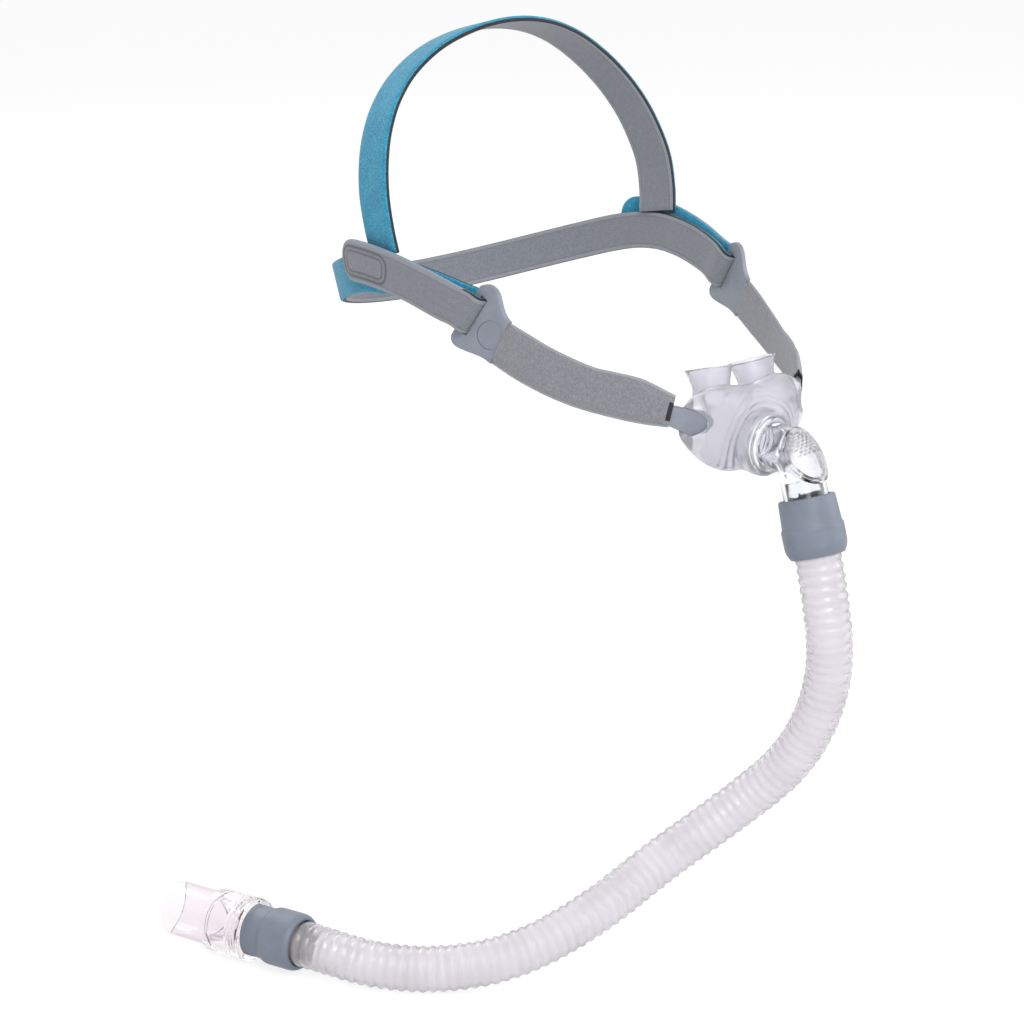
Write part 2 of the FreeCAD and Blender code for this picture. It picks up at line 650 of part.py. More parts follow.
def nasal_cushion():
    outside = [cushion_body(),
               port_cylinder("cushion_collar", size.boss_radius, size.boss_rear + 2, size.boss_front),
               port_cylinder("cushion_heel", size.heel_radius, size.boss_rear - 4, size.boss_front - 2)]
    inside = [cushion_chamber(),
              port_cylinder("flange_room", size.rear_flange_radius + size.seat,
                            size.boss_rear - 5, size.boss_rear)]
    for side, word in ((-1, "right"), (1, "left")):
        outside.append(pillow(side, word, False, "pillow"))
        inside.append(pillow(side, word, True, "outlet"))
        recess = common("tab_recess_" + word,
                        side_prism("tab_recess_outline_" + word, tab_edges(float(size.soft)), side),
                        cheek_layer("tab_recess_layer_" + word, -8.0, ARM_INNER + size.seat, side))
        foot, outward = cheek_normal(TAB_CENTRE[0], side)
        foot = foot - outward * (float(ARM_INNER) - 0.4) + Vector(0, 0, TAB_CENTRE[1])
        socket = cylinder("stud_socket_" + word, size.stud_radius + size.seat,
                          size.stud_length + 0.7, along(foot, -outward))
        inside += [recess, socket]
    shell = cut("cushion_shell", fuse("cushion_solid", outside), fuse("cushion_hollow", inside))
    lip = port_cylinder("cushion_inner_lip", size.heel_radius, size.boss_rear, size.boss_rear + 3.2)
    bore = port_cylinder("cushion_port", size.elbow_radius + size.running + size.ring_wall + size.seat,
                         size.boss_rear - 5, size.boss_front + 5)
    return cut("nasal_cushion", fuse("cushion_with_lip", [shell, lip]), bore)


cushion = nasal_cushion()

# Port ring: a clear ring snapped into the collar, in which the elbow turns
ring_bore = size.elbow_radius + size.running
ring_outer = ring_bore + size.ring_wall
ring_rear = size.boss_rear - size.seat - size.ring_flange
ring_front = size.boss_front + size.seat + size.ring_flange
port_ring = turned("port_ring", along(Vector(0, 0, -float(size.port_drop)), FORWARD), [
    (ring_bore, ring_rear),
    (size.rear_flange_radius, ring_rear),
    (size.rear_flange_radius, size.boss_rear - size.seat),
    (ring_outer, size.boss_rear - size.seat),
    (ring_outer, size.boss_front + size.seat),
    (size.ring_flange_radius, size.boss_front + size.seat),
    (size.ring_flange_radius, ring_front),
    (ring_bore, ring_front),
])


# Elbow: a bent tube with a stop collar, a snap lip and an oval frame for the vent
centre_to_ring = -BEND_CENTRE.y
lip_start = ring_rear - size.seat - size.elbow_lip_length


def elbow_tube(name, radius, past_ends=0.0):
    """A round bar along the elbow's axis, run on by some length past both ends."""
    body = new_body(name, Placement(BEND_CENTRE, Rotation()))
    bend = size.elbow_bend
    straight = float(lip_start) - centre_to_ring - past_ends
    leg_end = size.elbow_neck - BEND_SETBACK + past_ends
    path = new_sketch(body, name + "_axis", "YZ_Plane")
    path.addGeometry(Part.LineSegment(Vector(-straight, float(bend), 0), Vector(0, float(bend), 0)), False)
    circle = Part.Circle(Vector(0, 0, 0), Vector(0, 0, 1), float(bend))
    path.addGeometry(Part.ArcOfCircle(circle, math.radians(90), math.radians(90) + TURN), False)
    knee = Vector(-math.sin(TURN), math.cos(TURN), 0) * float(bend)
    heading = Vector(-math.cos(TURN), -math.sin(TURN), 0)
    path.addGeometry(Part.LineSegment(knee, knee + heading * float(leg_end)), False)
    path.addConstraint(Sketcher.Constraint("Coincident", 1, 3, -1, 1))
    path.addConstraint(Sketcher.Constraint("Coincident", 0, 2, 1, 1))
    path.addConstraint(Sketcher.Constraint("Horizontal", 0))
    path.addConstraint(Sketcher.Constraint("PointOnObject", 0, 2, -2))
    path.addConstraint(Sketcher.Constraint("Tangent", 1, 2, 2, 1))
    for kind, value, label in (("Radius", bend, "bend"), ("Distance", leg_end, "leg")):
        number = path.addConstraint(Sketcher.Constraint(kind, 1 if kind == "Radius" else 2, float(value)))
        path.renameConstraint(number, label)
        bind(path, "Constraints." + label, value)
    ring = new_sketch(body, name + "_section", "XZ_Plane", Placement(Vector(0, 0, straight), Rotation()))
    ring.addGeometry(Part.Circle(Vector(0, float(bend), 0), Vector(0, 0, 1), float(radius)), False)
    number = ring.addConstraint(Sketcher.Constraint("Radius", 0, float(radius)))
    ring.renameConstraint(number, "tube")
    bind(ring, "Constraints.tube", radius)
    fix_point(ring, 0, 3, 0, bend, "centre")
    pipe = body.newObject("PartDesign::AdditivePipe", name + "_pipe")
    pipe.Profile = ring
    pipe.Spine = (path, ["Edge1", "Edge2", "Edge3"])
    ring.Visibility = False
    return body


def half_round(name, outer, inner=None):
    """The outer half of a bent bar, or of a bent tube, turned all round the bend's centre."""
    body = new_body(name, Placement(BEND_CENTRE, Rotation()))
    sketch = new_sketch(body, name + "_section", "XZ_Plane")
    centre = Vector(0, float(size.elbow_bend), 0)
    radii = [outer] if inner is None else [outer, inner]
    for radius in radii:
        circle = Part.Circle(centre, Vector(0, 0, 1), float(radius))
        sketch.addGeometry(Part.ArcOfCircle(circle, 0, math.pi), False)
    across = Vector(1, 0, 0)
    if inner is None:
        sketch.addGeometry(Part.LineSegment(centre - across * float(outer), centre + across * float(outer)), False)
        joints = ((1, 1, 0, 2), (1, 2, 0, 1))
    else:
        for side in (1, -1):
            sketch.addGeometry(Part.LineSegment(centre + across * (side * float(inner)),
                                                centre + across * (side * float(outer))), False)
        sketch.addConstraint(Sketcher.Constraint("Coincident", 1, 3, 0, 3))
        joints = ((2, 1, 1, 1), (2, 2, 0, 1), (3, 1, 1, 2), (3, 2, 0, 2))
    for joint in joints:
        sketch.addConstraint(Sketcher.Constraint("Coincident", *joint))
    for line in range(len(radii), sketch.GeometryCount):
        sketch.addConstraint(Sketcher.Constraint("Horizontal", line))
        sketch.addConstraint(Sketcher.Constraint("PointOnObject", 0, 3, line))
    fix_point(sketch, 0, 3, 0, size.elbow_bend, "centre")
    for i, radius in enumerate(radii):
        number = sketch.addConstraint(Sketcher.Constraint("Radius", i, float(radius)))
        sketch.renameConstraint(number, "round%d" % i)
        bind(sketch, "Constraints.round%d" % i, radius)
    turn = body.newObject("PartDesign::Revolution", name + "_turn")
    turn.Profile = sketch
    turn.ReferenceAxis = (sketch, ["H_Axis"])
    turn.Angle = 360
    sketch.Visibility = False
    return body


def vent_oval(name, grow):
    """An oval bar through the middle of the vent, larger all round by some length."""
    angle = math.radians(float(size.vent_angle))
    outward = Vector(0, -math.cos(angle), math.sin(angle))
    along_bend = Vector(0, math.sin(angle), math.cos(angle))
    oval = doc.addObject("Part::Ellipse", name + "_outline")
    major, minor = size.vent_length / 2 + grow, size.vent_width / 2 + grow
    oval.MajorRadius = float(major)
    oval.MinorRadius = float(minor)
    bind(oval, "MajorRadius", major)
    bind(oval, "MinorRadius", minor)
    oval.Placement = Placement(BEND_CENTRE, Rotation(along_bend, outward.cross(along_bend), outward, "XYZ"))
    bar = doc.addObject("Part::Extrusion", name)
    bar.Base = oval
    bar.DirMode = "Custom"
    bar.Dir = outward
    bar.LengthFwd = float(VENT_OUTER) + 4
    bar.Solid = True
    return bar


hood_radius = size.elbow_radius + size.hood_rise
vent_inner = hood_radius - size.vent_thickness
VENT_OUTER = size.elbow_bend + hood_radius


def elbow_piece():
    outside = elbow_tube("elbow_outside", size.elbow_radius)
    elbow_collars(outside)
    frame = common("vent_frame", half_round("frame_round", hood_radius), vent_oval("frame_oval", size.vent_border))
    hollow = [elbow_tube("elbow_bore", size.elbow_radius - size.elbow_wall, 1.0),
              common("vent_room", half_round("room_round", hood_radius + 2, vent_inner - size.seat),
                     vent_oval("room_oval", size.seat)),
              common("vent_window", half_round("window_round", vent_inner), vent_oval("window_oval", -size.ledge))]
    return cut("elbow", fuse("elbow_solid", [outside, frame]), fuse("elbow_hollow", hollow))


def elbow_collars(body):
    """The stop collar in front of the port ring and the snap lip behind it."""
    collar_start = ring_front + size.seat
    for name, start, length, radius in (
            ("collar", collar_start, size.elbow_collar, size.elbow_collar_radius),
            ("lip", lip_start, size.elbow_lip_length, size.elbow_radius + size.elbow_lip)):
        disc = new_sketch(body, name + "_disc", "XZ_Plane",
                          Placement(Vector(0, 0, float(start) - centre_to_ring), Rotation()))
        disc.addGeometry(
            Part.Circle(Vector(0, float(size.elbow_bend), 0), Vector(0, 0, 1), float(radius)), False)
        number = disc.addConstraint(Sketcher.Constraint("Radius", 0, float(radius)))
        disc.renameConstraint(number, "disc")
        bind(disc, "Constraints.disc", radius)
        fix_point(disc, 0, 3, 0, size.elbow_bend, "centre")
        pad = body.newObject("PartDesign::Pad", name)
        pad.Profile = disc
        pad.Length = float(length)
        bind(pad, "Length", length)
        disc.Visibility = False


elbow = elbow_piece()


# Vent: an oval saddle in the elbow's frame, drilled with staggered rows of small holes
VENT_PITCH = size.vent_width / 9.8
ROW_ANGLE = size.vent_length * 0.17
FIRST_ROW = size.vent_angle + size.vent_length * 1.15


def vent_drills():
    """The drills of the vent's holes: every second row is moved by half a pitch."""
    body = new_body("vent_drills", Placement(BEND_CENTRE, Rotation()))
    body.AllowCompound = True
    for row_set, columns in ((0, 6), (1, 7)):
        turn = 90 - float(FIRST_ROW) + float(ROW_ANGLE) * row_set
        tilt = Rotation(Vector(1, 0, 0), turn)
        start = tilt.multVec(Vector(0, 0, float(size.elbow_bend) + 1.5))
        drill = new_sketch(body, "vent_drill_%d" % row_set, "XY_Plane", Placement(start, tilt))
        first = -(VENT_PITCH * (columns - 1) / 2)
        drill.addGeometry(Part.Circle(Vector(float(first), 0, 0), Vector(0, 0, 1),
                                      float(size.vent_hole) / 2), False)
        number = drill.addConstraint(Sketcher.Constraint("Radius", 0, float(size.vent_hole) / 2))
        drill.renameConstraint(number, "hole")
        bind(drill, "Constraints.hole", size.vent_hole / 2)
        fix_point(drill, 0, 3, first, 0, "centre")
        hole = body.newObject("PartDesign::Pad", "vent_hole_%d" % row_set)
        hole.Profile = drill
        hole.Length = float(hood_radius) + 1
        bind(hole, "Length", hood_radius + 1)
        drill.Visibility = False
        doc.recompute()
        grid = body.newObject("PartDesign::MultiTransform", "vent_grid_%d" % row_set)
        across = body.newObject("PartDesign::LinearPattern", "vent_across_%d" % row_set)
        across.Direction = (origin_axis(body, "X_Axis"), [""])
        across.Length = float(VENT_PITCH) * (columns - 1)
        bind(across, "Length", VENT_PITCH * (columns - 1))
        across.Occurrences = columns
        around = body.newObject("PartDesign::PolarPattern", "vent_around_%d" % row_set)
        around.Axis = (origin_axis(body, "X_Axis"), [""])
        around.Angle = float(ROW_ANGLE) * 6
        bind(around, "Angle", ROW_ANGLE * 6)
        around.Occurrences = 4
        grid.Originals = [hole]
        grid.Transformations = [across, around]
        body.Tip = grid
        doc.recompute()
    return body


def origin_axis(body, role):
    return origin_plane(body, role)


vent_plate = common("vent_plate", half_round("vent_round", hood_radius, vent_inner), vent_oval("vent_oval_bar", 0.0))
vent = cut("vent_insert", vent_plate, vent_drills())

# Nipple: a hard tube in the hose end that turns inside the elbow's lower leg
leg_bore = size.elbow_radius - size.elbow_wall
nipple_radius = leg_bore - size.running
flange_top = size.elbow_neck + size.seat
flange_radius = size.elbow_radius
nipple = turned("hose_nipple", along(CORNER, LEG), [
    (size.nipple_bore, size.nipple_top),
    (nipple_radius, size.nipple_top),
    (nipple_radius, flange_top),
    (flange_radius, flange_top),
    (flange_radius, flange_top + size.nipple_flange),
    (nipple_radius, flange_top + size.nipple_flange),
    (nipple_radius, size.cuff_start + size.cuff_length - 3),
    (size.nipple_bore, size.cuff_start + size.cuff_length - 3),
])

# Upper cuff: soft sleeve over the elbow's leg, the nipple's flange and the hose end
hose_top = flange_top + size.nipple_flange + size.seat
cuff_end = size.cuff_start + size.cuff_length
cuff_top = size.elbow_radius + size.cuff_wall
cuff_band = cuff_top + size.cuff_swell + size.cuff_ridge
upper_cuff = turned("upper_cuff", along(CORNER, LEG), [
    (size.elbow_radius + size.seat, size.cuff_start),
    (cuff_top - 0.4, size.cuff_start),
    (cuff_top, size.cuff_start + 0.5),
    (cuff_top + size.cuff_swell, size.cuff_start + size.cuff_length * 0.46),
    (cuff_band, size.cuff_start + size.cuff_length * 0.52),
    (cuff_band, size.cuff_start + size.cuff_length * 0.8),
    (size.hose_radius + size.cuff_mouth_wall, cuff_end),
    (size.hose_radius + size.seat, cuff_end),
    (size.hose_radius + size.seat, hose_top - size.seat / 2),
    (size.elbow_radius + size.seat, hose_top - size.seat / 2),
])

# Hose: its route from the upper cuff to the lower one, as points chosen by hand
HOSE_TOP = CORNER + LEG * float(hose_top)
HOSE_ROUTE = [
    (0.0, -59.6, -72.4),
    (4.5, -60.0, -107.5),
    (1.0, -47.5, -141.0),
    (-12.0, -25.0, -166.5),
    (-35.0, -9.5, -186.0),
    (-67.0, -3.5, -203.0),
    (-96.5, 7.5, -215.0),
    (-119.5, 23.5, -219.0),
    (-136.5, 43.0, -218.8),
    (-147.4, 64.7, -215.5),
]


def arc_path(points):
    """Straight runs joined by tangent arcs as large as the runs allow."""
    edges = []
    start = points[0]
    for before, corner, after in zip(points, points[1:], points[2:]):
        back = (before - corner).normalize()
        on = (after - corner).normalize()
        run = min((before - corner).Length, (after - corner).Length)
        cut_back = 0.45 * run
        half_turn = (math.pi - back.getAngle(on)) / 2
        radius = cut_back / math.tan(half_turn)
        middle = (back + on).normalize()
        centre = corner + middle * math.hypot(radius, cut_back)
        entry, leave = corner + back * cut_back, corner + on * cut_back
        edges.append(Part.LineSegment(start, entry).toShape())
        edges.append(Part.Arc(entry, centre - middle * radius, leave).toShape())
        print("hose bend radius %.0f mm, turn %.0f degrees" % (radius, math.degrees(2 * half_turn)))
        start = leave
    edges.append(Part.LineSegment(start, points[-1]).toShape())
    return Part.Wire(edges)


def hose_piece():
    hose_end_inside = size.lower_cuff_band - size.seat * 8
    last = HOSE_END + HOSE_END_DIRECTION * float(hose_end_inside)
    path = arc_path([HOSE_TOP] + [Vector(*p) for p in HOSE_ROUTE] + [last])
    tubes = []
    for radius in (size.hose_radius, size.hose_bore):
        ring = Part.Wire([Part.makeCircle(float(radius), HOSE_TOP, LEG)])
        tubes.append(path.makePipeShell([ring], True, False))
    hose = doc.addObject("Part::Feature", "hose")
    hose.Shape = tubes[0].cut(tubes[1])
    wall = math.pi * (float(size.hose_radius) ** 2 - float(size.hose_bore) ** 2)
    print("hose length %.1f mm, volume %.0f, section times length %.0f"
          % (path.Length, hose.Shape.Volume, wall * path.Length))
    return hose


hose = hose_piece()

# Lower cuff, swivel sleeve and swivel connector, along the hose's far end
tip_frame = along(HOSE_END, HOSE_END_DIRECTION)
nose_length = size.lower_cuff_length
cuff_step = size.lower_cuff_band
sleeve_hole = size.sleeve_radius + size.seat
lower_cuff = turned("lower_cuff", tip_frame, [
    (size.hose_radius + size.seat, 0),
    (size.hose_radius + size.cuff_mouth_wall + 0.2, 0),
    (size.lower_band_radius, cuff_step * 0.14),
    (size.lower_band_radius, cuff_step * 0.9),
    (size.lower_nose_radius, cuff_step + 0.6),
    (size.lower_nose_radius, nose_length),
    (sleeve_hole, nose_length),
    (sleeve_hole, cuff_step - size.seat * 7),
    (size.hose_radius + size.seat, cuff_step - size.seat * 7),
])
sleeve_end = nose_length + size.seat + size.sleeve_flange + size.sleeve_reach
hose_grip = size.hose_bore - size.seat
swivel_sleeve = turned("swivel_sleeve", tip_frame, [
    (size.sleeve_bore, 2),
    (hose_grip, 2),
    (hose_grip, cuff_step - size.seat * 6),
    (size.sleeve_radius, cuff_step - size.seat * 6),
    (size.sleeve_radius, nose_length + size.seat),
    (size.sleeve_flange_radius, nose_length + size.seat),
    (size.sleeve_flange_radius, nose_length + size.seat + size.sleeve_flange),
    (size.sleeve_radius, nose_length + size.seat + size.sleeve_flange),
    (size.sleeve_radius, sleeve_end - 1.6),
    (size.sleeve_radius + 0.5, sleeve_end - 1.2),
    (size.sleeve_radius, sleeve_end),
    (size.sleeve_bore, sleeve_end),
])
collar_start = nose_length - size.collar_overlap
collar_end = collar_start + size.collar_length
spigot_end = collar_end + size.spigot_length
turning_bore = size.sleeve_radius + size.running
counterbore = size.lower_nose_radius + 0.5
bore_start = nose_length + size.sleeve_flange + size.seat * 2
spigot_bore = size.spigot_radius - size.spigot_wall
collar_radius = counterbore + size.collar_wall
groove_floor = collar_radius - size.collar_groove


def connector_profile():
    profile = [
        (counterbore, collar_start),
        (collar_radius - 0.5, collar_start),
        (collar_radius, collar_start + 0.5),
    ]
    for groove in range(3):
        at = collar_start + 1.6 + size.groove_pitch * groove
        profile += [(collar_radius, at), (groove_floor, at + 0.4), (groove_floor, at + 0.8),
                    (collar_radius, at + 1.2)]
    profile += [
        (collar_radius, collar_end - 0.6),
        (collar_radius - 0.6, collar_end),
        (size.spigot_radius, collar_end),
        (size.spigot_radius, spigot_end - 0.6),
        (size.spigot_radius - 0.6, spigot_end),
        (spigot_bore, spigot_end),
        (spigot_bore, sleeve_end + 1.4),
        (turning_bore + 0.8, sleeve_end + 0.6),
        (turning_bore + 0.8, sleeve_end - 1.8),
        (turning_bore, sleeve_end - 1.8),
        (turning_bore, bore_start),
        (counterbore, bore_start),
    ]
    return profile


swivel_connector = turned("swivel_connector", tip_frame, connector_profile())

# Arms and sleeves
SIDES = ((-1, "right"), (1, "left"))
arms = [side_arm(side, word) for side, word in SIDES]
sleeves = [arm_sleeve(side, word) for side, word in SIDES]

# Head form that the straps lie on: only their tilt is taken from it
HEAD_CENTRE = Vector(0, 98, 50.6)
HEAD_RADII = Vector(76, 101, 79)
STRAP = size.strap_thickness


def head_normal(point, steepness):
    """Way out from the head at a point. Steepness says how far the straps follow it up and down."""
    away = point - HEAD_CENTRE
    return Vector(away.x / HEAD_RADII.x ** 2, away.y / HEAD_RADII.y ** 2,
                  steepness * away.z / HEAD_RADII.z ** 2).normalize()


def strap_section(name, centre, across, outward, width, thickness):
    """A rectangle of a strap: its width lies along across, its thickness along outward."""
    sketch = doc.addObject("Sketcher::SketchObject", name)
    sketch.Placement = Placement(centre, Rotation(across, outward, across.cross(outward), "XYZ"))
    half_width, half_thick = width / 2, thickness / 2
    outline(sketch, [(-half_width, -half_thick), (half_width, -half_thick),
                     (half_width, half_thick), (-half_width, half_thick)])
    return sketch


def strap_sections(name, route, width, thickness, steepness, first=None, last=None):
    """Sections of a strap along a route, each across the route and flat on the head."""
    sections = []
    for i, centre in enumerate(route):
        before, after = route[max(i - 1, 0)], route[min(i + 1, len(route) - 1)]
        run = (after - before).normalize()
        outward = head_normal(centre, steepness)
        outward = (outward - run * outward.dot(run)).normalize()
        across = run.cross(outward)
        if i == 0 and first is not None:
            across, outward = first
        if i == len(route) - 1 and last is not None:
            across, outward = last
        sections.append(strap_section("%s_%02d" % (name, i), centre, across, outward, width, thickness))
    return sections


def mirrored(point, side):
    return Vector(side * point[0], point[1], point[2])


BAR_MIDDLE = shifted(SLOT_TOP, SLOT_LENGTH / 2, BAR_CENTRE_OFFSET)
LAYER_STEP = FOLD_RADIUS + float(STRAP) / 2


def bar_frame(side):
    """Centre of the buckle's bar, the way along it (downwards), and the way out from the head."""
    foot, outward = cheek_normal(BAR_MIDDLE[0], side)
    centre = foot - outward * float(ARM_OUTER + size.arm_thickness / 2) + Vector(0, 0, BAR_MIDDLE[1])
    level = Vector(-outward.y, outward.x, 0) * (1 if side > 0 else -1)
    down = (level * (BAR_ALONG[0] / abs(level.y)) + Vector(0, 0, BAR_ALONG[1])).normalize()
    return centre, down, outward


BAND_ROUTE = [(68.4, 74.0, 28.4), (70.9, 86.0, 31.2), (72.7, 98.0, 32.9), (73.9, 110.0, 33.4),
              (73.4, 123.0, 32.2), (70.6, 136.0, 29.2), (64.8, 150.0, 24.8), (54.8, 165.0, 19.6),
              (39.5, 178.0, 14.6), (20.5, 186.0, 11.2)]
BAND_BACK = (0.0, 188.5, 10.0)
TAIL_ROUTE = [(73.2, 74.0, 28.2), (75.3, 86.0, 31.8), (76.9, 98.0, 34.8), (78.1, 110.0, 36.8),
              (77.7, 122.0, 37.4), (75.5, 134.0, 36.6)]


def mirror_image(name, source):
    """The same shape on the other side of the middle plane."""
    copy = doc.addObject("Part::Mirroring", name)
    copy.Source = source
    copy.Base = Vector(0, 0, 0)
    copy.Normal = Vector(1, 0, 0)
    return copy


def strap_front():
    """The right front of the strap: half a turn round the buckle's bar, then the tail over it."""
    centre, down, outward = bar_frame(-1)
    fold = doc.addObject("Part::Feature", "strap_fold_right")
    start = centre - outward * LAYER_STEP
    half_wide, half_thick = down * (float(size.tail_width) / 2), outward * (float(STRAP) / 2)
    corners = [start - half_wide - half_thick, start + half_wide - half_thick,
               start + half_wide + half_thick, start - half_wide + half_thick]
    fold.Shape = Part.Face(Part.makePolygon(corners + [corners[0]])).revolve(centre, -down, 180)
    route = [centre + outward * LAYER_STEP] + [mirrored(p, -1) for p in TAIL_ROUTE]
    sections = strap_sections("tail", route, size.tail_width, STRAP, 0.5, first=(down, outward))
    return fuse("strap_front_right", [fold, loft("strap_tail", sections)])


def rear_band():
    """One strap: round the back of the head, forward to both buckles, round each bar and back."""
    front = strap_front()
    ends = {side: bar_frame(side) for side, word in SIDES}
    route = [ends[-1][0] - ends[-1][2] * LAYER_STEP]
    route += [mirrored(p, -1) for p in BAND_ROUTE]
    route.append(Vector(*BAND_BACK))
    route += [mirrored(p, 1) for p in reversed(BAND_ROUTE)]
    route.append(ends[1][0] - ends[1][2] * LAYER_STEP)
    sections = strap_sections("band", route, size.band_width, STRAP, 0.5,
                              first=(ends[-1][1], ends[-1][2]), last=(ends[1][1], ends[1][2]))
    return fuse("rear_band", [loft("strap_band", sections), front, mirror_image("strap_front_left", front)])


band = rear_band()

CROWN_ROUTE = [(73.9, 110.5, 41.7), (75.2, 112.3, 52.0), (75.2, 115.0, 64.0), (72.6, 118.5, 75.5),
               (68.0, 122.0, 86.5), (60.5, 125.5, 97.5), (49.5, 128.0, 108.0), (35.0, 128.5, 117.0),
               (18.0, 127.5, 122.8)]
CROWN_TOP = (0.0, 127.0, 124.8)


def crown_strap():
    """Over the head, each end cut along the top edge of the rear strap."""
    route = [mirrored(p, -1) for p in CROWN_ROUTE] + [Vector(*CROWN_TOP)]
    route += [mirrored(p, 1) for p in reversed(CROWN_ROUTE)]
    ends = []
    for side in (-1, 1):
        outward = head_normal(mirrored(CROWN_ROUTE[0], side), 1.0)
        level = Vector(0, -1, 0.03)
        ends.append(((level - outward * level.dot(outward)).normalize(), outward))
    return loft("crown_strap", strap_sections("crown", route, size.crown_width, STRAP, 1.0,
                                              first=ends[0], last=ends[1]))


crown = crown_strap()


def hook_tab(side, word):
    """Hook patch between the end of the tail and the strap under it, bent like the tail."""
    route = []
    for point in TAIL_ROUTE[1:]:
        centre = mirrored(point, side)
        route.append(centre - head_normal(centre, 0.5) * (float(STRAP) + float(size.layer_gap)) / 2)
    layer = loft("hook_layer_" + word,
                 strap_sections("hook_" + word, route, size.hook_width, size.hook_thickness, 0.5))
    block = doc.addObject("Part::Box", "hook_length_" + word)
    block.Width = float(size.hook_length)
    bind(block, "Width", size.hook_length)
    block.Length, block.Height = 60, 60
    block.Placement = Placement(Vector(route[2].x - 30, route[2].y - float(size.hook_length) / 2, 6), Rotation())
    return common("hook_tab_" + word, layer, block)


hooks = [hook_tab(side, word) for side, word in SIDES]

# Check, then write each piece
doc.recompute()
PIECES = [cushion, port_ring, elbow, vent, nipple, upper_cuff, hose, lower_cuff, swivel_sleeve,
          swivel_connector] + arms + sleeves + [band, crown] + hooks
for thing in doc.Objects:
    if "Invalid" in thing.State or "Error" in thing.State:
        raise RuntimeError("%s failed: %s" % (thing.Label, thing.State))
os.makedirs("parts", exist_ok=True)
for piece in PIECES:
    shape = piece.Shape
    if shape.isNull() or not shape.isValid() or len(shape.Solids) != 1:
        raise RuntimeError("%s has a bad shape with %d solids" % (piece.Label, len(shape.Solids)))
    print("%-18s volume %9.1f mm3, faces %d" % (piece.Label, shape.Volume, len(shape.Faces)))
    shape.exportStep("parts/%s.step" % piece.Label)
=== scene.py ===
"""Nasal pillows mask with strap headgear, vented elbow and a short corrugated hose.

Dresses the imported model: frosted silicone, knit sleeves, strap laminate, soft cuffs, hose and clear
plastics, on a pale stage in soft light. Lengths are in metres, in the frame of the model.
"""

import math

import bmesh
import bpy
from bpy.props import FloatProperty, FloatVectorProperty, IntProperty, PointerProperty
from mathutils import Matrix, Vector


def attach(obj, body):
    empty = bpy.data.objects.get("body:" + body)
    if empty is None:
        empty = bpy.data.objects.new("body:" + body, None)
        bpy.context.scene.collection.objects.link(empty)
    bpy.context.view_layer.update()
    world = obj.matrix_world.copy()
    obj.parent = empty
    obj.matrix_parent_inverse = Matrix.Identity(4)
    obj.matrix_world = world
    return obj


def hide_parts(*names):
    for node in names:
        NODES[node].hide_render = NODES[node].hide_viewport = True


bl_info = {
    "name": "Nasal pillows mask",
    "version": (1, 0, 0),
    "blender": (4, 5, 0),
    "location": "View3D > Sidebar > Mask",
    "description": "Soft pieces, finishes and stage for a nasal pillows mask",
    "category": "Object",
}

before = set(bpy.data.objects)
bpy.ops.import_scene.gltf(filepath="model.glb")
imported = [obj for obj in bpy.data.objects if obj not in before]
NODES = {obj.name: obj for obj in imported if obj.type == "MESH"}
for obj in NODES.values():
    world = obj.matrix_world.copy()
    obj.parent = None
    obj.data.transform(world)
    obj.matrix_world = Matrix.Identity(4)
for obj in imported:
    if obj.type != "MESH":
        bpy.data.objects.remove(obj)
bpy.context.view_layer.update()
MM = 0.001


def mm(x, y, z):
    """A point given in millimetres."""
    return Vector((x, y, z)) * MM


# Sizes and colours that a user would change

def length(name, default, description):
    return FloatProperty(name=name, description=description, default=default, unit="LENGTH", min=0.0)


def colour(name, default, description):
    return FloatVectorProperty(name=name, description=description, default=default, size=3,
                               subtype="COLOR", min=0.0, max=1.0)


class MaskSizes(bpy.types.PropertyGroup):
    """Sizes of the soft pieces"""
    silicone_step: length("Silicone grain", 0.0005, "Voxel that rounds the cushion's edges")
    strap_thickness: length("Strap thickness", 0.0025, "Foam laminate of the straps")
    band_width: length("Band width", 0.0155, "Strap round the back of the head")
    tail_width: length("Tail width", 0.017, "Folded front of that strap")
    crown_width: length("Crown width", 0.019, "Strap over the head")
    edge_round: length("Moulded edge", 0.0003, "Rounding of moulded plastic edges")
    hose_radius: length("Hose radius", 0.009, "Hose over its ribs")
    rib_pitch: length("Rib pitch", 0.0038, "Distance between the hose's ribs")
    rib_depth: length("Rib depth", 0.0007, "Depth of the hose's valleys")
    hose_wall: length("Hose wall", 0.0007, "Wall of the hose")
    hose_sides: IntProperty(name="Hose sides", description="Sides of the hose's tube", default=40, min=12)


class MaskColours(bpy.types.PropertyGroup):
    """Colours of the finishes"""
    silicone: colour("Silicone", (0.86, 0.85, 0.91), "Frosted cushion")
    clear: colour("Clear plastic", (0.95, 0.96, 0.98), "Elbow, ring and nipple")
    connector: colour("Connector", (0.93, 0.885, 0.908), "Swivel connector")
    hose: colour("Hose", (0.93, 0.905, 0.94), "Corrugated hose")
    cuff: colour("Cuffs", (0.185, 0.215, 0.270), "Soft cuffs of the hose")
    arm: colour("Side arms", (0.235, 0.258, 0.31), "Moulded side arms")
    knit_light: colour("Knit, light", (0.30, 0.302, 0.335), "Light yarn of the sleeves")
    knit_dark: colour("Knit, dark", (0.135, 0.137, 0.158), "Dark yarn of the sleeves")
    strap_light: colour("Strap, light", (0.03, 0.345, 0.525), "Raised loops of the strap")
    strap_dark: colour("Strap, dark", (0.006, 0.175, 0.30), "Ground of the strap")
    lining_light: colour("Lining, light", (0.25, 0.265, 0.30), "Light yarn of the lining")
    lining_dark: colour("Lining, dark", (0.135, 0.145, 0.17), "Dark yarn of the lining")
    # Also used as painted shade in the open mouths of the arm sleeves.
    foam: colour("Foam", (0.02, 0.022, 0.028), "Cut edge of the straps")


def sizes():
    return bpy.context.scene.mask_sizes


def colours():
    return bpy.context.scene.mask_colours


# Node helpers

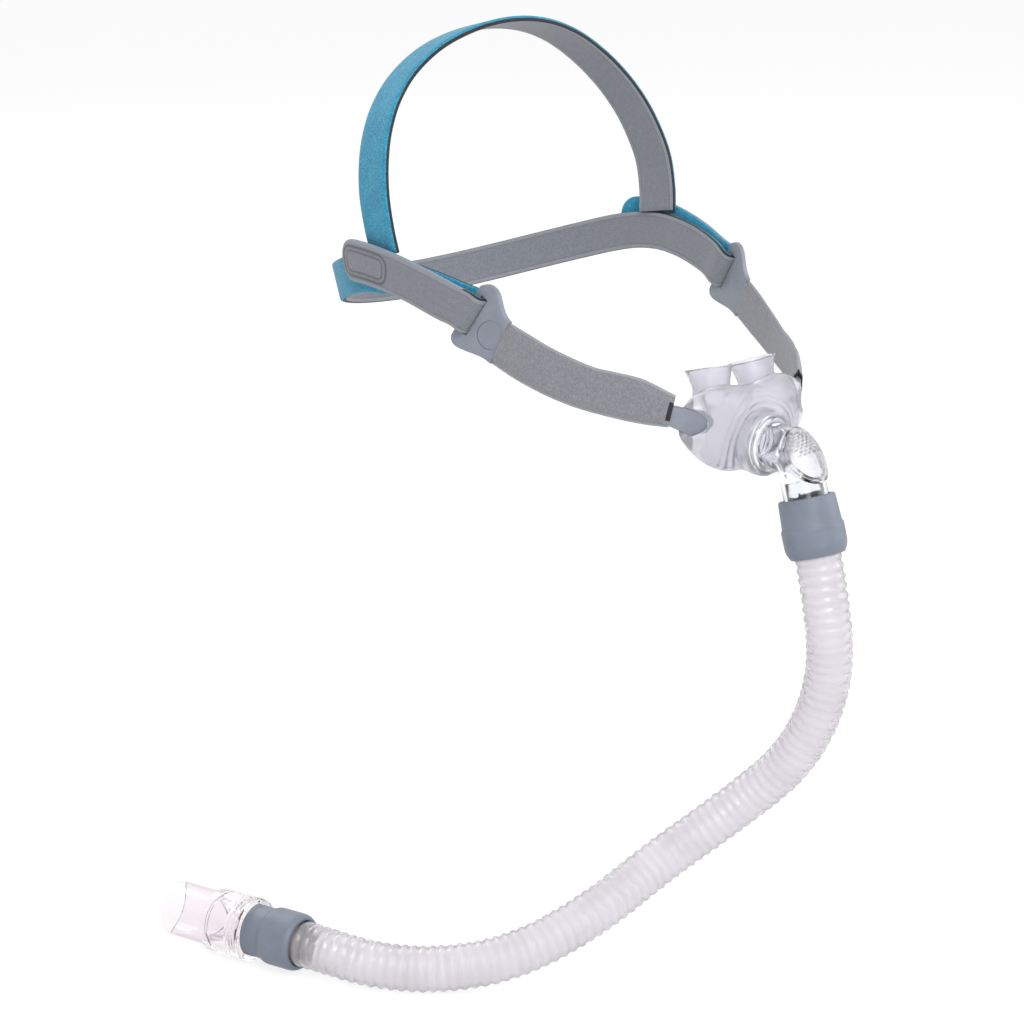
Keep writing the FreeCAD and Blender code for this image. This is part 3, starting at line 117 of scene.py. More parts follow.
def add(tree, kind, values=None, **settings):
    """A node with its settings, and its sockets set or linked."""
    made = tree.nodes.new(kind)
    for key, value in settings.items():
        setattr(made, key, value)
    for socket, value in (values or {}).items():
        if isinstance(value, bpy.types.NodeSocket):
            tree.links.new(value, made.inputs[socket])
        else:
            made.inputs[socket].default_value = value
    return made


def maths(tree, operation, *values, clamp=False):
    return add(tree, "ShaderNodeMath", dict(enumerate(values)), operation=operation,
               use_clamp=clamp).outputs[0]


def mix_colour(tree, share, first, second, blend="MIX"):
    made = add(tree, "ShaderNodeMix", data_type="RGBA", blend_type=blend)
    for socket, value in ((0, share), (6, first), (7, second)):
        if isinstance(value, bpy.types.NodeSocket):
            tree.links.new(value, made.inputs[socket])
        else:
            made.inputs[socket].default_value = value
    return made.outputs[2]


def ramp(tree, value, low, high, at_low=0.0, at_high=1.0, smooth=True):
    """The value, moved from one range to another and held at its ends."""
    return add(tree, "ShaderNodeMapRange",
               {"Value": value, "From Min": low, "From Max": high, "To Min": at_low, "To Max": at_high},
               interpolation_type="SMOOTHSTEP" if smooth else "LINEAR").outputs[0]


def group(name, inputs, outputs):
    """A new node group. Returns the tree, its input sockets and its output node."""
    tree = bpy.data.node_groups.new(name, "ShaderNodeTree")
    for label, kind, default in inputs:
        socket = tree.interface.new_socket(label, in_out="INPUT", socket_type="NodeSocket" + kind)
        if default is not None:
            socket.default_value = default
    for label, kind in outputs:
        tree.interface.new_socket(label, in_out="OUTPUT", socket_type="NodeSocket" + kind)
    start, end = tree.nodes.new("NodeGroupInput"), tree.nodes.new("NodeGroupOutput")
    return tree, start.outputs, end.inputs


def place_group(tree, name, values):
    made = tree.nodes.new("ShaderNodeGroup")
    made.node_tree = bpy.data.node_groups[name]
    for socket, value in values.items():
        if isinstance(value, bpy.types.NodeSocket):
            tree.links.new(value, made.inputs[socket])
        else:
            made.inputs[socket].default_value = value
    return made.outputs


def rgba(value):
    return (value[0], value[1], value[2], 1.0)


def build_groups():
    """Effects that several finishes share."""
    tree, given, out = group(
        "loop_pile",
        [("Vector", "Vector", None), ("Scale", "Float", 1.0), ("Light", "Color", (1, 1, 1, 1)),
         ("Dark", "Color", (0, 0, 0, 1))],
        [("Color", "Color"), ("Height", "Float"), ("Roughness", "Float")])
    fine = add(tree, "ShaderNodeTexNoise", {"Vector": given["Vector"], "Detail": 3.0, "Roughness": 0.7,
                                            "Scale": maths(tree, "MULTIPLY", given["Scale"], 1900.0)})
    loops = add(tree, "ShaderNodeTexVoronoi",
                {"Vector": given["Vector"], "Scale": maths(tree, "MULTIPLY", given["Scale"], 1500.0)})
    broad = add(tree, "ShaderNodeTexNoise", {"Vector": given["Vector"], "Detail": 2.0,
                                             "Scale": maths(tree, "MULTIPLY", given["Scale"], 140.0)})
    pile = maths(tree, "ADD", maths(tree, "MULTIPLY", fine.outputs["Fac"], 0.65),
                 maths(tree, "MULTIPLY", loops.outputs["Distance"], 0.5))
    share = maths(tree, "ADD", ramp(tree, pile, 0.35, 0.85),
                  maths(tree, "MULTIPLY", maths(tree, "SUBTRACT", broad.outputs["Fac"], 0.5), 0.7), clamp=True)
    tree.links.new(mix_colour(tree, share, given["Dark"], given["Light"]), out["Color"])
    tree.links.new(pile, out["Height"])
    tree.links.new(ramp(tree, pile, 0.2, 0.9, 0.98, 0.8), out["Roughness"])

    tree, given, out = group(
        "knit",
        [("Vector", "Vector", None), ("Scale", "Float", 1.0), ("Light", "Color", (1, 1, 1, 1)),
         ("Dark", "Color", (0, 0, 0, 1)), ("Contrast", "Float", 1.0)],
        [("Color", "Color"), ("Height", "Float"), ("Roughness", "Float")])
    stretched = add(tree, "ShaderNodeMapping", {"Vector": given["Vector"], "Scale": (1.0, 0.55, 1.9)},
                    vector_type="TEXTURE")
    flecks = add(tree, "ShaderNodeTexNoise", {"Vector": stretched.outputs[0], "Detail": 2.0, "Roughness": 0.6,
                                              "Scale": maths(tree, "MULTIPLY", given["Scale"], 1700.0)})
    stitches = add(tree, "ShaderNodeTexVoronoi",
                   {"Vector": given["Vector"], "Scale": maths(tree, "MULTIPLY", given["Scale"], 1900.0)})
    broad = add(tree, "ShaderNodeTexNoise", {"Vector": given["Vector"], "Detail": 3.0,
                                             "Scale": maths(tree, "MULTIPLY", given["Scale"], 330.0)})
    yarn = maths(tree, "ADD", maths(tree, "MULTIPLY", flecks.outputs["Fac"], 0.7),
                 maths(tree, "MULTIPLY", stitches.outputs["Distance"], 0.35))
    share = maths(tree, "ADD", ramp(tree, yarn, 0.38, 0.78),
                  maths(tree, "MULTIPLY", maths(tree, "SUBTRACT", broad.outputs["Fac"], 0.5), 0.5))
    share = maths(tree, "ADD", 0.5, maths(tree, "MULTIPLY", maths(tree, "SUBTRACT", share, 0.5),
                                         given["Contrast"]), clamp=True)
    tree.links.new(mix_colour(tree, share, given["Dark"], given["Light"]), out["Color"])
    tree.links.new(yarn, out["Height"])
    tree.links.new(ramp(tree, yarn, 0.2, 0.8, 0.95, 0.82), out["Roughness"])

    tree, given, out = group(
        "handled", [("Vector", "Vector", None), ("Scale", "Float", 1.0), ("Roughness", "Float", 0.3),
                    ("Spread", "Float", 0.1)],
        [("Roughness", "Float"), ("Height", "Float")])
    cloud = add(tree, "ShaderNodeTexNoise", {"Vector": given["Vector"], "Detail": 4.0,
                                             "Scale": maths(tree, "MULTIPLY", given["Scale"], 90.0)})
    grain = add(tree, "ShaderNodeTexNoise", {"Vector": given["Vector"], "Detail": 1.0,
                                             "Scale": maths(tree, "MULTIPLY", given["Scale"], 2600.0)})
    shift = maths(tree, "MULTIPLY", maths(tree, "SUBTRACT", cloud.outputs["Fac"], 0.5), given["Spread"])
    tree.links.new(maths(tree, "ADD", given["Roughness"], shift, clamp=True), out["Roughness"])
    tree.links.new(maths(tree, "ADD", grain.outputs["Fac"],
                         maths(tree, "MULTIPLY", cloud.outputs["Fac"], 0.4)), out["Height"])

    tree, given, out = group(
        "rounded_frame",
        [("U", "Float", 0.0), ("V", "Float", 0.0), ("Half U", "Float", 1.0), ("Half V", "Float", 1.0),
         ("Corner", "Float", 0.3), ("Line", "Float", 0.1)],
        [("Line", "Float"), ("Inside", "Float")])
    reach = []
    for axis, half in (("U", "Half U"), ("V", "Half V")):
        past = maths(tree, "SUBTRACT", maths(tree, "ABSOLUTE", given[axis]),
                     maths(tree, "SUBTRACT", given[half], given["Corner"]))
        reach.append(maths(tree, "MAXIMUM", past, 0.0))
    distance = maths(tree, "SUBTRACT", maths(tree, "SQRT", maths(
        tree, "ADD", maths(tree, "POWER", reach[0], 2.0), maths(tree, "POWER", reach[1], 2.0))), given["Corner"])
    line = maths(tree, "SUBTRACT", 1.0, maths(tree, "DIVIDE", maths(tree, "ABSOLUTE", distance),
                                              given["Line"]), clamp=True)
    tree.links.new(line, out["Line"])
    tree.links.new(maths(tree, "LESS_THAN", distance, 0.0), out["Inside"])


def new_material(name):
    """A material with its shader, and object coordinates ready to use."""
    material = bpy.data.materials.new(name)
    material.use_nodes = True
    tree = material.node_tree
    tree.nodes.clear()
    shader = tree.nodes.new("ShaderNodeBsdfPrincipled")
    result = tree.nodes.new("ShaderNodeOutputMaterial")
    tree.links.new(shader.outputs[0], result.inputs[0])
    place = tree.nodes.new("ShaderNodeTexCoord").outputs["Object"]
    return material, tree, shader, place


def bump(tree, shader, height, strength, distance):
    made = add(tree, "ShaderNodeBump", {"Height": height, "Strength": strength, "Distance": distance})
    tree.links.new(made.outputs[0], shader.inputs["Normal"])
    return made


def attribute(tree, name):
    return add(tree, "ShaderNodeAttribute", attribute_name=name).outputs["Fac"]


def plastic(name, tint, roughness, spread, height=0.15, **constants):
    """Moulded plastic or rubber: plain colour with handled gloss and a fine moulded grain."""
    material, tree, shader, place = new_material(name)
    handled = place_group(tree, "handled", {"Vector": place, "Roughness": roughness, "Spread": spread})
    tone = add(tree, "ShaderNodeTexNoise", {"Vector": place, "Scale": 120.0, "Detail": 3.0})
    deep = tuple(c * 0.88 for c in tint[:3]) + (1.0,)
    shade = mix_colour(tree, ramp(tree, tone.outputs["Fac"], 0.3, 0.7), deep, rgba(tint))
    tree.links.new(shade, shader.inputs["Base Color"])
    tree.links.new(handled["Roughness"], shader.inputs["Roughness"])
    bump(tree, shader, handled["Height"], height, 0.00005)
    for socket, value in constants.items():
        shader.inputs[socket.replace("_", " ")].default_value = value
    return material


def rim(tree, shade, edge, start):
    """The shade, turned to a darker edge colour where the wall is seen from its side: painted shade along the
    grazing edges.
    """
    facing = add(tree, "ShaderNodeLayerWeight", {"Blend": 0.5}).outputs["Facing"]
    return mix_colour(tree, ramp(tree, facing, start, 0.98), shade, rgba(edge))


def clear_plastic(name, tint, roughness, edge=(0.60, 0.60, 0.64)):
    material, tree, shader, place = new_material(name)
    handled = place_group(tree, "handled", {"Vector": place, "Roughness": roughness, "Spread": 0.06})
    haze = add(tree, "ShaderNodeTexNoise", {"Vector": place, "Scale": 60.0, "Detail": 2.0})
    shade = mix_colour(tree, ramp(tree, haze.outputs["Fac"], 0.3, 0.8),
                       rgba(tint), tuple(min(1.0, c * 1.03) for c in tint[:3]) + (1.0,))
    # Painted shade: the colour turns to the darker edge colour where the wall is seen edge-on.
    tree.links.new(rim(tree, shade, edge, 0.55), shader.inputs["Base Color"])
    tree.links.new(handled["Roughness"], shader.inputs["Roughness"])
    bump(tree, shader, handled["Height"], 0.02, 0.00003)
    shader.inputs["Transmission Weight"].default_value = 1.0
    shader.inputs["IOR"].default_value = 1.33
    return material


def port_rings(tree, place):
    """Faint moulded steps of the cushion round its port."""
    parts = add(tree, "ShaderNodeSeparateXYZ", {"Vector": place}).outputs
    level = maths(tree, "ADD", parts["Z"], 0.0205)
    away = maths(tree, "SQRT", maths(tree, "ADD", maths(tree, "POWER", parts["X"], 2.0),
                                     maths(tree, "POWER", level, 2.0)))
    wave = maths(tree, "SINE", maths(tree, "MULTIPLY", away, math.tau / 0.0026))
    fade = ramp(tree, away, 0.0215, 0.0165)
    front = ramp(tree, parts["Y"], -0.012, -0.016)
    return maths(tree, "MULTIPLY", maths(tree, "MULTIPLY", wave, fade), front)


def frosted(name, tint, roughness, transmission, subsurface, rings=False, edge=(0.55, 0.54, 0.60)):
    """Milky translucent silicone or elastomer, with painted shade along its grazing edges."""
    material, tree, shader, place = new_material(name)
    handled = place_group(tree, "handled", {"Vector": place, "Roughness": roughness, "Spread": 0.12,
                                            "Scale": 1.4})
    cloud = add(tree, "ShaderNodeTexNoise", {"Vector": place, "Scale": 70.0, "Detail": 3.0})
    deep = tuple(c * 0.94 for c in tint[:3]) + (1.0,)
    shade = mix_colour(tree, ramp(tree, cloud.outputs["Fac"], 0.3, 0.7), deep, rgba(tint))
    tree.links.new(rim(tree, shade, edge, 0.6), shader.inputs["Base Color"])
    tree.links.new(handled["Roughness"], shader.inputs["Roughness"])
    relief = maths(tree, "MULTIPLY", handled["Height"], 0.1)
    if rings:
        relief = maths(tree, "ADD", relief, port_rings(tree, place))
    bump(tree, shader, relief, 0.5, 0.00025)
    shader.inputs["Transmission Weight"].default_value = transmission
    shader.inputs["IOR"].default_value = 1.4
    shader.inputs["Subsurface Weight"].default_value = subsurface
    shader.inputs["Subsurface Radius"].default_value = (0.004, 0.004, 0.0045)
    shader.inputs["Subsurface Scale"].default_value = 1.0
    return material


def cloth(name, kind, light, dark, scale, contrast=None, depth=0.00012, strength=0.6, sheen=0.3):
    material, tree, shader, place = new_material(name)
    values = {"Vector": place, "Scale": scale, "Light": rgba(light), "Dark": rgba(dark)}
    if contrast is not None:
        values["Contrast"] = contrast
    made = place_group(tree, kind, values)
    tree.links.new(made["Color"], shader.inputs["Base Color"])
    tree.links.new(made["Roughness"], shader.inputs["Roughness"])
    bump(tree, shader, made["Height"], strength, depth)
    shader.inputs["Sheen Weight"].default_value = sheen
    shader.inputs["Sheen Roughness"].default_value = 0.6
    return material, tree, shader, made


def lining():
    """Grey lining: welded border along the strap's edges, and the raised patch near each end, with painted shade
    in the grooves round the patch and along the welded seam.
    """
    tint = colours()
    material, tree, shader, made = cloth("strap_lining", "knit", tint.lining_light, tint.lining_dark, 1.3,
                                         contrast=0.6, sheen=0.2)
    across, along = attribute(tree, "across"), attribute(tree, "along")
    half = attribute(tree, "half_width")
    from_edge = maths(tree, "SUBTRACT", half, maths(tree, "ABSOLUTE", across))
    border = ramp(tree, from_edge, 0.0022, 0.0014)
    seam_groove_shade = maths(tree, "SUBTRACT", 1.0, maths(tree, "DIVIDE", maths(
        tree, "ABSOLUTE", maths(tree, "SUBTRACT", from_edge, 0.0018)), 0.0004), clamp=True)
    where = maths(tree, "SUBTRACT", along, 0.0164)
    outer = place_group(tree, "rounded_frame", {"U": where, "V": across, "Half U": 0.0140, "Half V": 0.0060,
                                                "Corner": 0.0046, "Line": 0.0009})
    inner = place_group(tree, "rounded_frame", {"U": where, "V": across, "Half U": 0.0118, "Half V": 0.0041,
                                                "Corner": 0.0028, "Line": 0.0006})
    frame_grooves_and_shade = maths(tree, "MAXIMUM", outer["Line"], maths(tree, "MULTIPLY", inner["Line"], 0.8))
    shade = mix_colour(tree, maths(tree, "MULTIPLY", border, 0.45), made["Color"],
                       (0.30, 0.315, 0.35, 1.0))
    # Painted shade: dark lines in the grooves round the raised patch and along the seam of the welded border;
    # the same lines also carve the grooves in the bump.
    dark = maths(tree, "MAXIMUM", maths(tree, "MULTIPLY", frame_grooves_and_shade, 0.85), maths(tree, "MULTIPLY", seam_groove_shade, 0.35))
    shade = mix_colour(tree, dark, shade, (0.055, 0.06, 0.075, 1.0))
    tree.links.new(shade, shader.inputs["Base Color"])
    relief = maths(tree, "ADD", maths(tree, "MULTIPLY", made["Height"], 0.12),
                   maths(tree, "MULTIPLY", frame_grooves_and_shade, -0.8))
    relief = maths(tree, "ADD", relief, maths(tree, "MULTIPLY", border, -0.5))
    relief = maths(tree, "ADD", relief, maths(tree, "MULTIPLY", inner["Inside"], 0.4))
    bump(tree, shader, relief, 0.8, 0.0006)
    return material


def sleeve_knit():
    """Grey knit of the arm sleeves, welded along both edges."""
    tint = colours()
    material, tree, shader, made = cloth("sleeve_knit", "knit", tint.knit_light, tint.knit_dark, 1.0,
                                         contrast=0.5, depth=0.00012)
    from_edge = maths(tree, "SUBTRACT", attribute(tree, "half_width"),
                      maths(tree, "ABSOLUTE", attribute(tree, "across")))
    weld = ramp(tree, from_edge, 0.0011, 0.0006)
    shade = mix_colour(tree, maths(tree, "MULTIPLY", weld, 0.8), made["Color"], (0.33, 0.345, 0.385, 1.0))
    tree.links.new(shade, shader.inputs["Base Color"])
    relief = maths(tree, "SUBTRACT", maths(tree, "MULTIPLY", made["Height"], 0.5),
                   maths(tree, "MULTIPLY", weld, 0.5))
    bump(tree, shader, relief, 0.7, 0.0003)
    return material


FINISH = {}


class MASK_OT_finishes(bpy.types.Operator):
    """Build the finishes of every piece"""
    bl_idname = "mask.finishes"
    bl_label = "Build Finishes"

    def execute(self, context):
        tint = colours()
        build_groups()
        # The edge colours given to these finishes are painted shade along the grazing edges.
        FINISH["silicone"] = frosted("frosted_silicone", tint.silicone, 0.24, 0.84, 0.15, rings=True,
                                     edge=(0.72, 0.71, 0.78))
        FINISH["hose"] = frosted("milky_hose", tint.hose, 0.2, 0.82, 0.1, edge=(0.46, 0.44, 0.50))
        FINISH["clear"] = clear_plastic("clear_plastic", tint.clear, 0.05)
        FINISH["connector"] = clear_plastic("connector_plastic", tint.connector, 0.04, (0.66, 0.58, 0.62))
        FINISH["vent"] = frosted("frosted_vent", (0.93, 0.92, 0.96), 0.2, 0.93, 0.0)
        FINISH["cuff"] = plastic("cuff_rubber", tint.cuff, 0.5, 0.14, 0.2)
        FINISH["arm"] = plastic("arm_plastic", tint.arm, 0.42, 0.12, 0.2)
        # A darker copy of the arm's plastic: painted shade for the walls of the buckle's recess.
        FINISH["arm_line"] = plastic("arm_shaded", tuple(c * 0.45 for c in tint.arm), 0.5, 0.12, 0.2)
        FINISH["strap"] = cloth("strap_loops", "loop_pile", tint.strap_light, tint.strap_dark, 1.0,
                                depth=0.0002, strength=0.8, sheen=0.15)[0]
        # Dark finish of the straps' cut foam edges, also used as painted shade in the sleeves' mouths.
        FINISH["foam"] = cloth("strap_foam", "loop_pile", tint.foam, tuple(c * 0.4 for c in tint.foam), 1.5,
                               sheen=0.1)[0]
        FINISH["lining"] = lining()
        FINISH["knit"] = sleeve_knit()
        FINISH["hook"] = cloth("hook_tape", "loop_pile", (0.16, 0.17, 0.19), (0.05, 0.055, 0.065), 0.8)[0]
        return {"FINISHED"}


# Mesh helpers

def keep(name, bm, finishes, body, replaced=()):
    """Makes an object of the mesh, and gives it its body and finishes."""
    mesh = bpy.data.meshes.new(name)
    bm.to_mesh(mesh)
    bm.free()
    mesh.polygons.foreach_set("use_smooth", [True] * len(mesh.polygons))
    piece = bpy.data.objects.new(name, mesh)
    bpy.context.scene.collection.objects.link(piece)
    for finish in finishes:
        mesh.materials.append(FINISH[finish])
    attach(piece, body)
    if replaced:
        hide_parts(*replaced)
    return piece


def bake_modifiers(piece):
    """Applies the piece's modifiers to its mesh."""
    bpy.context.view_layer.update()
    seen = piece.evaluated_get(bpy.context.evaluated_depsgraph_get())
    mesh = bpy.data.meshes.new_from_object(seen)
    piece.modifiers.clear()
    piece.data = mesh
    return piece


def node_copy(node):
    """A node's mesh with its triangles joined into one skin."""
    bm = bmesh.new()
    bm.from_mesh(NODES[node].data)
    bmesh.ops.remove_doubles(bm, verts=bm.verts, dist=1e-6)
    return bm


def crisp_copy(node, finish, body, round_edge=True, angle=32.0):
    """A moulded node with its sharp edges rounded."""
    bm = node_copy(node)
    bmesh.ops.dissolve_limit(bm, angle_limit=math.radians(0.6), verts=bm.verts, edges=bm.edges)
    piece = keep(node + "_moulded", bm, [finish], body, [node])
    if round_edge:
        bevel = piece.modifiers.new("edges", "BEVEL")
        bevel.width = sizes().edge_round
        bevel.segments = 2
        bevel.limit_method = "ANGLE"
        bevel.angle_limit = math.radians(angle)
        bevel.use_clamp_overlap = True
        bevel.harden_normals = False
        bake_modifiers(piece)
    piece.data.shade_smooth()
    piece.data.set_sharp_from_angle(angle=math.radians(38))
    return piece


def extruded_tube(rings, cap=True):
    """A skin made by extruding one loop of vertices from ring to ring. Each ring lists the points
    and, for each, what the named attributes hold there."""
    bm = bmesh.new()
    index = bm.verts.layers.int.new("ring_index")
    layers = {key: bm.verts.layers.float.new(key) for key in rings[0][1][0]}
    count = len(rings[0][0])
    loop = bmesh.ops.create_circle(bm, segments=count, radius=1.0)["verts"]
    for i, vert in enumerate(loop):
        vert[index] = i
    edges = bm.edges[:]
    verts = loop
    for step, (points, values) in enumerate(rings):
        if step:
            made = bmesh.ops.extrude_edge_only(bm, edges=edges)["geom"]
            verts = [part for part in made if isinstance(part, bmesh.types.BMVert)]
            edges = [part for part in made if isinstance(part, bmesh.types.BMEdge)]
        for vert in verts:
            vert.co = points[vert[index]]
            for key, layer in layers.items():
                vert[layer] = values[vert[index]][key]
    if cap:
        bmesh.ops.holes_fill(bm, edges=[edge for edge in bm.edges if edge.is_boundary], sides=count)
    bmesh.ops.recalc_face_normals(bm, faces=bm.faces)
    return bm, index


def smooth_path(points, step, before=None, after=None):
    """Points at even steps on a smooth line through the given ones."""
    whole = [before or points[0] * 2 - points[1]] + list(points) + [after or points[-1] * 2 - points[-2]]
    dense = []
    for a, b, c, d in zip(whole, whole[1:], whole[2:], whole[3:]):
        for i in range(24):
            t = i / 24
            dense.append(0.5 * ((2 * b) + (c - a) * t + (2 * a - 5 * b + 4 * c - d) * t * t
                                + (3 * b - a - 3 * c + d) * t ** 3))
    dense.append(points[-1])
    return even_points(dense, step)


def even_points(dense, step):
    total = sum((b - a).length for a, b in zip(dense, dense[1:]))
    count = max(2, round(total / step))
    wanted = [total * i / count for i in range(count + 1)]
    out, walked, k = [], 0.0, 0
    for target in wanted:
        while k < len(dense) - 2 and walked + (dense[k + 1] - dense[k]).length < target:
            walked += (dense[k + 1] - dense[k]).length
            k += 1
        run = (dense[k + 1] - dense[k]).length or 1e-9
        out.append(dense[k].lerp(dense[k + 1], min(1.0, (target - walked) / run)))
    return out


def spun(profile, axis_from, direction, steps=64):
    """A closed turned skin: the profile of (radius, distance) in millimetres, about an axis."""
    bm = bmesh.new()
    turn = Vector((0, 0, 1)).rotation_difference(direction).to_matrix().to_4x4()
    whole = Matrix.Translation(axis_from) @ turn
    loop = bmesh.ops.create_circle(bm, segments=len(profile), radius=1.0)["verts"]
    for vert, (radius, height) in zip(loop, profile):
        vert.co = (radius * MM, 0, height * MM)
    bmesh.ops.spin(bm, geom=bm.verts[:] + bm.edges[:], cent=(0, 0, 0), axis=(0, 0, 1),
                   dvec=(0, 0, 0), angle=math.tau, steps=steps, use_merge=True, use_duplicate=False)
    bmesh.ops.remove_doubles(bm, verts=bm.verts, dist=1e-7)
    bmesh.ops.recalc_face_normals(bm, faces=bm.faces)
    bmesh.ops.transform(bm, matrix=whole, verts=bm.verts)
    return bm


def rounded(profile, reach, steps=3):
    """The profile with each corner cut round by a reach in millimetres."""
    out = []
    count = len(profile)
    for i, corner in enumerate(profile):
        here = Vector((*corner, 0))
        to_last = Vector((*profile[i - 1], 0)) - here
        to_next = Vector((*profile[(i + 1) % count], 0)) - here
        cut = min(reach, to_last.length * 0.45, to_next.length * 0.45)
        a, b = here + to_last.normalized() * cut, here + to_next.normalized() * cut
        for k in range(steps + 1):
            t = k / steps
            point = a * (1 - t) ** 2 + here * 2 * t * (1 - t) + b * t * t
            out.append((point.x, point.y))
    return out


# Cushion

class MASK_OT_cushion(bpy.types.Operator):
    """Mould the silicone cushion with soft edges"""
    bl_idname = "mask.cushion"
    bl_label = "Mould Cushion"

    def execute(self, context):
        bm = node_copy("nasal_cushion")
        piece = keep("cushion_silicone", bm, ["silicone"], "mask", ["nasal_cushion"])
        remesh = piece.modifiers.new("skin", "REMESH")
        remesh.mode = "VOXEL"
        remesh.voxel_size = sizes().silicone_step
        remesh.use_smooth_shade = True
        soften = piece.modifiers.new("soften", "SMOOTH")
        soften.factor = 0.5
        soften.iterations = 9
        bake_modifiers(piece)
        piece.data.shade_smooth()
        return {"FINISHED"}


# Clear and moulded pieces

def shade_recess(piece):
    """Paints shade on the walls of the recess in the buckle's face, with a darker copy of the arm's plastic."""
    piece.data.materials.append(FINISH["arm_line"])
    for skin in piece.data.polygons:
        away = skin.center - mm(skin.center.x / MM, 55.5, 17.6)
        if away.length < 0.0071 and abs(skin.normal.x) < 0.93:
            skin.material_index = 1


class MASK_OT_moulded(bpy.types.Operator):
    """Round the edges of the moulded pieces and give them their plastics"""
    bl_idname = "mask.moulded"
    bl_label = "Finish Moulded Pieces"

    def execute(self, context):
        for node, finish, body, slot in (
                ("port_ring", "clear", "mask", "clear_plastic"),
                ("elbow", "clear", "elbow", "clear_plastic"),
                ("hose_nipple", "clear", "hose", "clear_plastic"),
                ("swivel_sleeve", "clear", "hose", "clear_plastic"),
                ("swivel_connector", "connector", "connector", "connector_plastic"),
                ("side_arm_right", "arm", "mask", "arm_plastic"),
                ("side_arm_left", "arm", "mask", "arm_plastic"),
                ("hook_tab_right", "hook", "mask", "hook_plastic"),
                ("hook_tab_left", "hook", "mask", "hook_plastic")):
            piece = crisp_copy(node, finish, body)
            if finish == "arm":
                shade_recess(piece)
        crisp_copy("vent_insert", "vent", "elbow", round_edge=False)
        return {"FINISHED"}


# Hose and its cuffs

CORNER = mm(0, -42.6, -20.5)
LEG = Vector((0, -math.cos(math.radians(72)), -math.sin(math.radians(72))))
HOSE_END = mm(-149.5, 72.0, -215.5)
HOSE_END_DIRECTION = Vector((-0.275, 0.961, 0)).normalized()
HOSE_ROUTE = [
    (0.0, -50.54, -44.94),
    (0.0, -59.6, -72.4),
    (4.5, -60.0, -107.5),
    (1.0, -47.5, -141.0),
    (-12.0, -25.0, -166.5),
    (-35.0, -9.5, -186.0),
    (-67.0, -3.5, -203.0),
    (-96.5, 7.5, -215.0),
    (-119.5, 23.5, -219.0),
    (-136.5, 43.0, -218.8),
    (-147.4, 64.7, -215.5),
    (-153.4, 85.6, -215.5),
]


def route_line(name, points):
    """The hose's middle line, read from a spline with the route's points as its control points."""
    curve = bpy.data.curves.new(name, "CURVE")
    curve.dimensions = "3D"
    curve.resolution_u = 40
    spline = curve.splines.new("NURBS")
    spline.points.add(len(points) - 1)
    for point, place in zip(spline.points, points):
        point.co = (*mm(*place), 1.0)
    spline.order_u = 3
    spline.use_endpoint_u = True
    holder = bpy.data.objects.new(name, curve)
    bpy.context.scene.collection.objects.link(holder)
    bpy.context.view_layer.update()
    mesh = bpy.data.meshes.new_from_object(holder)
    line = [vert.co.copy() for vert in mesh.vertices]
    bpy.data.objects.remove(holder)
    bpy.data.meshes.remove(mesh)
    return line


def carried_frames(line):
    """Two directions across the line at each point, carried along it without a twist."""
    frames = []
    side = Vector((1, 0, 0))
    for i, point in enumerate(line):
        run = (line[min(i + 1, len(line) - 1)] - line[max(i - 1, 0)]).normalized()
        side = (side - run * side.dot(run)).normalized()
        frames.append((point, side, run.cross(side)))
    return frames


class MASK_OT_hose(bpy.types.Operator):
    """Lay the corrugated hose along its route"""
    bl_idname = "mask.hose"
    bl_label = "Lay Hose"

    def execute(self, context):
        size = sizes()
        steps = 8
        line = even_points(route_line("hose_route", HOSE_ROUTE), size.rib_pitch / steps)
        total = len(line) - 1
        smooth_end = 3 * steps
        rings = []
        radii = []
        for i in range(total + 1):
            wave = 0.5 - 0.5 * math.cos(math.tau * i / steps)
            wave = wave ** 1.2
            depth = size.rib_depth
            if i < smooth_end or i > total - smooth_end:
                wave = 0.25
            radii.append(size.hose_radius - depth * wave)
        frames = carried_frames(line)
        sides = size.hose_sides

        def ring(i, radius):
            point, side, up = frames[i]
            turn = [math.tau * k / sides for k in range(sides)]
            points = [point + (side * math.cos(a) + up * math.sin(a)) * radius for a in turn]
            return points, [{"along": i / steps} for _ in turn]

        rings = [ring(i, radii[i]) for i in range(total + 1)]
        rings += [ring(i, radii[i] - size.hose_wall) for i in range(total, -1, -1)]
        bm, index = extruded_tube(rings, cap=False)
        ends = [edge for edge in bm.edges if edge.is_boundary]
        bmesh.ops.bridge_loops(bm, edges=ends)
        bmesh.ops.recalc_face_normals(bm, faces=bm.faces)
        hose = keep("hose_corrugated", bm, ["hose"], "hose", ["hose"])
        return {"FINISHED"}


class MASK_OT_cuffs(bpy.types.Operator):
    """Turn the two soft cuffs of the hose"""
    bl_idname = "mask.cuffs"
    bl_label = "Turn Cuffs"

    def execute(self, context):
        upper = [(8.7, 17.5), (10.5, 17.5), (10.9, 18.1), (11.4, 27.6), (11.5, 28.1), (11.95, 28.9),
                 (12.0, 29.6), (11.9, 36.0), (11.6, 37.4), (10.35, 40.0), (9.1, 40.0), (9.1, 25.6), (8.7, 25.6)]
        keep("upper_cuff_soft", spun(rounded(upper, 0.45), CORNER, LEG), ["cuff"], "hose",
             ["upper_cuff"])
        lower = [(9.1, 0.0), (10.4, 0.0), (11.2, 1.6), (11.35, 3.0), (11.35, 12.6), (11.1, 13.8),
                 (10.35, 15.2), (10.15, 16.2), (10.2, 25.0), (8.2, 25.0), (8.2, 14.3), (9.1, 14.3)]
        keep("lower_cuff_soft", spun(rounded(lower, 0.45), HOSE_END, HOSE_END_DIRECTION), ["cuff"], "hose",
             ["lower_cuff"])
        return {"FINISHED"}


# Headgear

